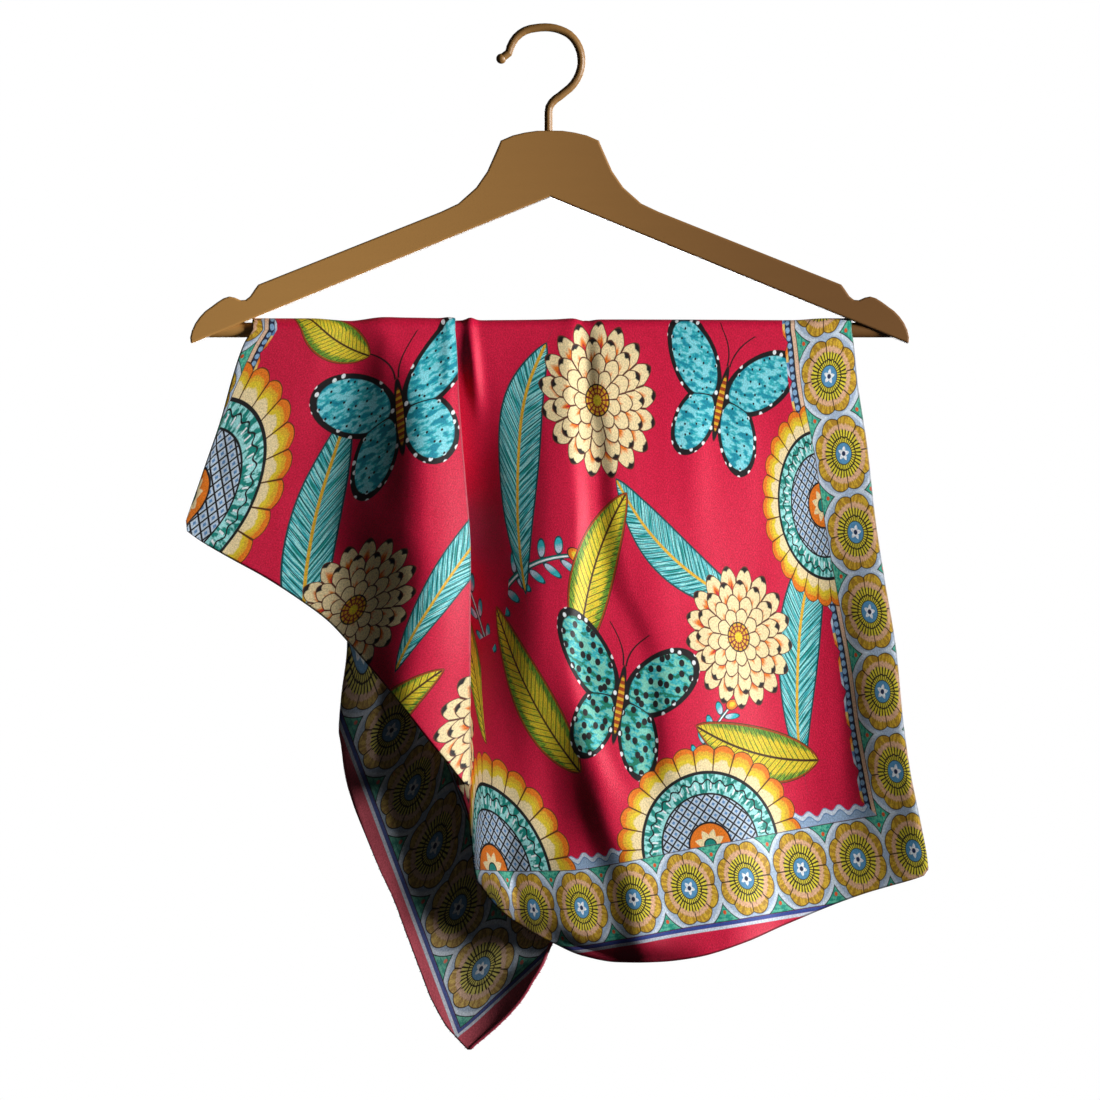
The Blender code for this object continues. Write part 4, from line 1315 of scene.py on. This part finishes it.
BACK_CREASES = (
    # from across and height, to across and height, half width, depth
    (-150.0, -190.0, -100.0, -420.0, 8.0, 1.6),
    (-70.0, -190.0, -66.0, -420.0, 9.0, -2.2),
    (30.0, -190.0, -30.0, -430.0, 9.0, -2.0),
    (140.0, -190.0, 20.0, -420.0, 8.0, 1.4),
    (60.0, -188.0, -6.0, -380.0, 6.0, 1.2),
    (-60.0, -470.0, -62.0, -650.0, 30.0, 5.0),
)
LAPEL = (
    # height, how much of the left side is curled behind
    (-185.1, 12.0),
    (-260.0, 16.0),
    (-380.0, 20.0),
    (-434.0, 14.0),
    (-480.0, 6.0),
    (-507.0, 0.6),
    (-630.0, 0.3),
)
RIGHT_GUIDE = (
    # height, across: where the lower right hem would be, were it straight further up
    (-185.1, 187.2),
    (-300.0, 129.4),
    (-400.0, 86.0),
    (-440.0, 69.0),
    (-480.0, 60.0),
    (-520.0, 52.0),
    (-545.0, 41.0),
    (-560.0, 28.0),
    (-580.0, 7.7),
    (-600.0, -13.6),
    (-632.0, -47.7),
)
BACK_COLUMNS, BACK_ROWS = 128, 180
LAPEL_BENDS, LAPEL_STRIPS = 8, 6
LAPEL_RADIUS = 2.2
LAP_HIDES = 16.0        # the front's lap behind the bar covers the back drop's first rows
DROP_LONG = 447.0       # from the bar to the corner
TIP_LEAN = 0.13         # how much the left side leans back for each millimetre across
LEFT_LIFT = 5.6         # and how much further its edge turns back
MARGIN_BEND = 4.5       # how far the right margin bends forward below
ROLLED_IN = 4.4         # width of the margin that the rolled hem takes up
HEM_LINE = 4.2          # the roll presses on the silk this far from the edge
CORNER_ROSETTE = (-39.8, -582.2)    # across and height
# One step of the border runs this far to the left and up along one hem, and this far to the
# right and up along the other.
UP_LEFT, UP_RIGHT = (14.0, 37.1), (40.3, 36.0)
STEP_AREA = 1999.0      # of the slanting square between the two


def back_out(x, z):
    """How far the back drop stands behind the bar's centre line."""
    fall = np.clip(BAR_MIDDLE - z, 0, None)
    free = np.clip(fall - LAP_HIDES, 0, None)
    grow = 1 - np.exp(-free / 80.0)
    foot = np.clip(fall / DROP_LONG, 0, 1)
    waves = np.zeros_like(x)
    for top, low, top_half, low_half, depth in BACK_GATHERS:
        middle = top + (low - top) * foot
        half = top_half + (low_half - top_half) * foot
        waves += depth * np.exp(-((x - middle) / half) ** 2)
    out = BAR_REACH - 1.4 * np.exp(-free / 12.0)    # drawn in under the front's lap
    out = out + waves * grow * (1.0 - 0.72 * foot) + 2.4 * np.sin(math.pi * foot)
    out = out + grow * creases(BACK_CREASES, x, z)

    # The left side leans back below the bar, and its edge turns back further.
    lean = np.clip((fall - 120.0) / 150.0, 0, 1)
    out = out + lean * (-60.0 - x) * TIP_LEAN * np.clip((610.0 + z) / 60.0, 0, 1)
    turned = np.clip((-84.0 - x) / 44.0, 0, 1) ** 2 * np.clip((540.0 + z) / 90.0, 0, 1)
    out = out + LEFT_LIFT * lean * turned

    # The last of the right margin bends forward, and lies flat again at the corner.
    right_hem = sections_at(BACK_SECTIONS, z)[1]
    bent = np.clip((-568.0 - z) / 14.0, 0, 1) * np.clip((638.0 + z) / 56.0, 0, 1)
    out = out - MARGIN_BEND * np.clip(1.0 - (right_hem - x) / 17.0, 0, 1) ** 1.6 * bent
    return out + grow * unevenness(x, z, 5.3, 22.0, 90.0, 1.2)


def back_drop_points():
    """Points of the back drop and their places on the flat square."""
    heights = np.linspace(BAR_MIDDLE - 5.0, BACK_SECTIONS[-1][0], BACK_ROWS + 1)
    left, right = sections_at(BACK_SECTIONS, heights)
    share = np.linspace(0, 1, BACK_COLUMNS + 1)
    x = left[:, None] + (right - left)[:, None] * share[None]
    z = np.repeat(heights[:, None], BACK_COLUMNS + 1, axis=1)
    out = back_out(x, z)
    panel = np.stack([x, out, z], axis=-1)
    curl = smooth_through(*np.array(LAPEL)[::-1].T, heights)
    lapel = []
    for r in range(BACK_ROWS + 1):
        radius = min(LAPEL_RADIUS, 0.25 + 0.25 * curl[r])
        ways = bend_and_strip(radius, curl[r], LAPEL_BENDS, LAPEL_STRIPS)
        ahead, behind = fold_under(ways, radius)
        px = x[r, 0] - ahead
        base = np.interp(px, x[r], out[r])
        loose = 0.17 + 0.98 * np.clip((BAR_MIDDLE - heights[r] - LAP_HIDES) / 40.0, 0, 1)
        lapel.append(np.stack([px, base + behind * loose, np.full(len(px), heights[r])], axis=-1)[::-1])
    rows = np.concatenate([np.array(lapel), panel], axis=1)
    first = LAPEL_BENDS + LAPEL_STRIPS

    # Near the corner the print follows the two hems, and higher up the right one's guide. In
    # the lapel the silk is as long as it was before it curled.
    in_lapel = np.arange(rows.shape[1])[None] < first
    steps = distances(rows)
    uncurled = x[:, :1] + steps - steps[:, first:first + 1]
    dx = np.where(in_lapel, uncurled, rows[..., 0]) - CORNER_ROSETTE[0]
    dz = rows[..., 2] - CORNER_ROSETTE[1]
    from_left = BAND_MIDDLE + ROSETTE_STEP * (UP_LEFT[0] * dz + UP_LEFT[1] * dx) / STEP_AREA
    straight = BAND_MIDDLE + ROSETTE_STEP * (UP_RIGHT[0] * dz - UP_RIGHT[1] * dx) / STEP_AREA
    guide = smooth_through(*np.array(RIGHT_GUIDE)[::-1].T, heights)[:, None]
    rise = np.clip((heights + 560.0) / 375.0, 0, 1)[:, None]
    guided = ROLLED_IN + 16.0 * rise + (guide - rows[..., 0]) * (0.86 + 0.10 * rise)
    along_row = np.linspace(0, 1, rows.shape[1])[None]
    follow = np.clip((along_row - 0.25) / 0.5, 0, 1) + np.clip((heights[:, None] + 420.0) / 130.0, 0, 1)
    from_right = straight + (guided - straight) * eased(follow)
    places = np.stack([SQUARE - from_right, SQUARE - from_left], axis=-1)

    # Painted shade along the line where the roll of the hem presses on the silk.
    to_hem = np.minimum(np.abs(from_left), np.abs(from_right))
    painted_shade = 0.7 * np.exp(-((to_hem - HEM_LINE) / 0.9) ** 2)
    return rows, places, np.zeros(painted_shade.shape, bool), painted_shade


points, places, gone, painted_shade = back_drop_points()
left_edge, right_edge = points[:, 0], points[:, -1]
back_drop = make_sheet("back_drop", points[:, ::-1], places[:, ::-1], gone, painted_shade[:, ::-1])
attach(back_drop, "root")


# ---- Rolled hem ------------------------------------------------------------------------
# The edge of the square, rolled toward the face between finger and thumb and sewn down by
# hand with crimson silk, in small slanting stitches.

hem_silk, hem_tree, hem_shader = new_finish("rolled_hem_silk")
hem_place = add_node(hem_tree, "ShaderNodeTexCoord")
hem_noise = add_node(hem_tree, "ShaderNodeTexNoise", {"Scale": 700.0, "Vector": hem_place.outputs["Object"]})
hem_tone = add_node(hem_tree, "ShaderNodeMix", {
    "Factor": hem_noise.outputs["Fac"], "A": srgb(122, 26, 46), "B": srgb(162, 50, 72),
}, data_type="RGBA")
set_inputs(hem_tree, hem_shader, {
    "Base Color": hem_tone.outputs["Result"],
    "Normal": relief(hem_tree, hem_noise.outputs["Fac"], 0.3, 0.0003),
    "Roughness": 0.42,
    "Sheen Weight": 0.15,
})

HEM_WIDE, HEM_THICK = 1.1, 0.7    # half width and half thickness, in millimetres
HEM_SIDES = 12
HEM_STEP = 2.0          # between two rings of the roll
STITCH_STEP = 4.6
STITCH_FROM_EDGE = 0.9
HIDDEN_ROWS = 4         # of the back drop at the bar, where the hem isn't seen


def rolled_hem(name, path):
    """A flat roll along an edge, a little uneven from the hand that rolled it."""
    steps = distances(path[None])[0]
    count = int(steps[-1] / HEM_STEP)
    at = np.linspace(0, steps[-1], count)
    line = np.stack([np.interp(at, steps, path[:, k]) for k in range(3)], axis=-1)
    way = unit(np.gradient(line, axis=0))
    side = unit(np.cross(way, (0.0, 1.0, 0.0)))
    up = np.cross(side, way)
    turn = 2 * math.pi * np.arange(HEM_SIDES) / HEM_SIDES
    swell = 1.0 + 0.05 * np.sin(at * 0.6) + 0.03 * np.sin(at * 1.7 + 1.0)
    wide = HEM_WIDE * swell[:, None] * np.cos(turn)
    thick = HEM_THICK * swell[:, None] * np.sin(turn)
    ring = line[:, None] + wide[..., None] * side[:, None] + thick[..., None] * up[:, None]
    mesh = bpy.data.meshes.new(name)
    corner = np.arange(count * HEM_SIDES).reshape(count, HEM_SIDES)
    after = np.roll(corner, -1, axis=1)
    quads = np.stack([corner[:-1], after[:-1], after[1:], corner[1:]], axis=-1).reshape(-1, 4).tolist()
    faces = quads + [corner[0].tolist()[::-1], corner[-1].tolist()]
    mesh.from_pydata((ring.reshape(-1, 3) * MM).tolist(), [], faces)
    shape = bmesh.new()
    shape.from_mesh(mesh)
    bmesh.ops.recalc_face_normals(shape, faces=shape.faces)
    shape.to_mesh(mesh)
    shape.free()
    mesh.shade_smooth()
    mesh.materials.append(hem_silk)
    return add_object(name, mesh)


def hand_stitches(name, path):
    """Small slanting stitches that hold the roll down, each a short fat bead of silk."""
    steps = distances(path[None])[0]
    shape = bmesh.new()
    for k, way in enumerate(np.arange(STITCH_STEP, steps[-1] - STITCH_STEP, STITCH_STEP)):
        here = Vector([np.interp(way, steps, path[:, c]) for c in range(3)])
        ahead = Vector([np.interp(way + 1.0, steps, path[:, c]) for c in range(3)]) - here
        aside = ahead.cross(Vector((0.0, -1.0, 0.0))).normalized()
        slant = (aside + 0.45 * ahead.normalized()).normalized()
        wobble = 0.12 * math.sin(3.7 * k)
        bead = bmesh.ops.create_icosphere(shape, subdivisions=1, radius=1.0)["verts"]
        for vert in bead:
            u, v, w = vert.co
            vert.co = (here + aside * (STITCH_FROM_EDGE + wobble) + slant * u
                       + ahead.normalized() * (v * 0.26) + Vector((0.0, -0.35 - 0.3 * w, 0.0))) * MM
    mesh = bpy.data.meshes.new(name)
    shape.to_mesh(mesh)
    shape.free()
    mesh.shade_smooth()
    mesh.materials.append(hem_silk)
    return add_object(name, mesh)


hem_line = np.concatenate([left_edge[HIDDEN_ROWS:], right_edge[:HIDDEN_ROWS - 1:-1]])
hem = rolled_hem("rolled_hem", hem_line)
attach(hem, "root")
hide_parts("scarf_back_hem")
stitches = hand_stitches("hem_stitches", hem_line)
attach(stitches, "root")
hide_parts("scarf_back_drop")


# ---- Studio ----------------------------------------------------------------------------
# A pale floor far under the hanging scarf with a light of its own, a soft key light low on
# the right, a faint fill from the left and two soft lights behind that rim the folds.

FLOOR_SIZE = 5.0
bpy.ops.mesh.primitive_plane_add(size=FLOOR_SIZE, location=(0.0, 0.0, -1.5))
floor = bpy.context.object
floor.name = "floor"
floor_paint, floor_tree, floor_shader = new_finish("pale_floor")
set_inputs(floor_tree, floor_shader, {"Base Color": (0.86, 0.86, 0.86, 1.0), "Roughness": 0.9})
floor.data.materials.append(floor_paint)
floor.visible_diffuse = False
floor.visible_glossy = False

SCARF_MIDDLE = Vector((0.0, 0.0, -0.34))


def square_lamp(name, size, power):
    """A square soft box that looks down."""
    lamp = bpy.data.lights.new(name, "AREA")
    lamp.shape = "SQUARE"
    lamp.size = size
    lamp.energy = power
    return add_object(name, lamp)


def soft_light(name, azimuth, elevation, distance, size, power):
    """A square soft light that looks at the scarf's middle."""
    a, e = math.radians(azimuth), math.radians(elevation)
    toward = Vector((math.sin(a) * math.cos(e), -math.cos(a) * math.cos(e), math.sin(e)))
    item = square_lamp(name, size, power)
    item.data.spread = math.radians(50)
    item.location = SCARF_MIDDLE + toward * distance
    item.rotation_mode = "QUATERNION"
    item.rotation_quaternion = (-toward).to_track_quat("-Z", "Y")


# Azimuth and elevation in degrees, distance and size in metres, power in watts.
soft_light("key_light", 68.0, 5.0, 3.2, 0.7, 18.0)
soft_light("fill_light", -20.0, 15.0, 3.5, 2.0, 0.1)
soft_light("back_light", 150.0, 0.0, 3.5, 1.6, 5.0)
soft_light("left_back_light", 190.0, 0.0, 3.5, 1.6, 6.0)

# A wide light under the scarf shines down on the floor alone.
floor_light = square_lamp("floor_light", FLOOR_SIZE, 55.0)
floor_light.location = (0.0, 0.0, -1.1)
floor_light.visible_camera = False

world = bpy.data.worlds.new("studio")
bpy.context.scene.world = world
world.use_nodes = True
sky = world.node_tree.nodes["Background"]
rays = add_node(world.node_tree, "ShaderNodeLightPath")
brightness = add_node(world.node_tree, "ShaderNodeMapRange", {
    "Value": rays.outputs["Is Camera Ray"], "To Min": 0.023, "To Max": 1.0,
})
set_inputs(world.node_tree, sky, {
    "Strength": brightness.outputs["Result"], "Color": (1.0, 1.0, 1.0, 1.0),
})

FRAME_WIDE = 1100 * 0.62 * MM       # what the frame spans at the hanger
FRAME_MIDDLE = (2.85 * MM, -321.5 * MM)    # across and height
CAMERA_AWAY = 4.0
SENSOR_WIDE = 36.0
camera_data = bpy.data.cameras.new("camera")
camera_data.sensor_width = SENSOR_WIDE
camera_data.lens = SENSOR_WIDE * CAMERA_AWAY / FRAME_WIDE
camera_data.clip_end = 100.0
camera = add_object("camera", camera_data)
camera.location = (FRAME_MIDDLE[0], -CAMERA_AWAY, FRAME_MIDDLE[1])
camera.rotation_euler = (math.radians(90), 0.0, 0.0)
bpy.context.scene.camera = camera
bpy.context.scene.view_settings.view_transform = "Standard"
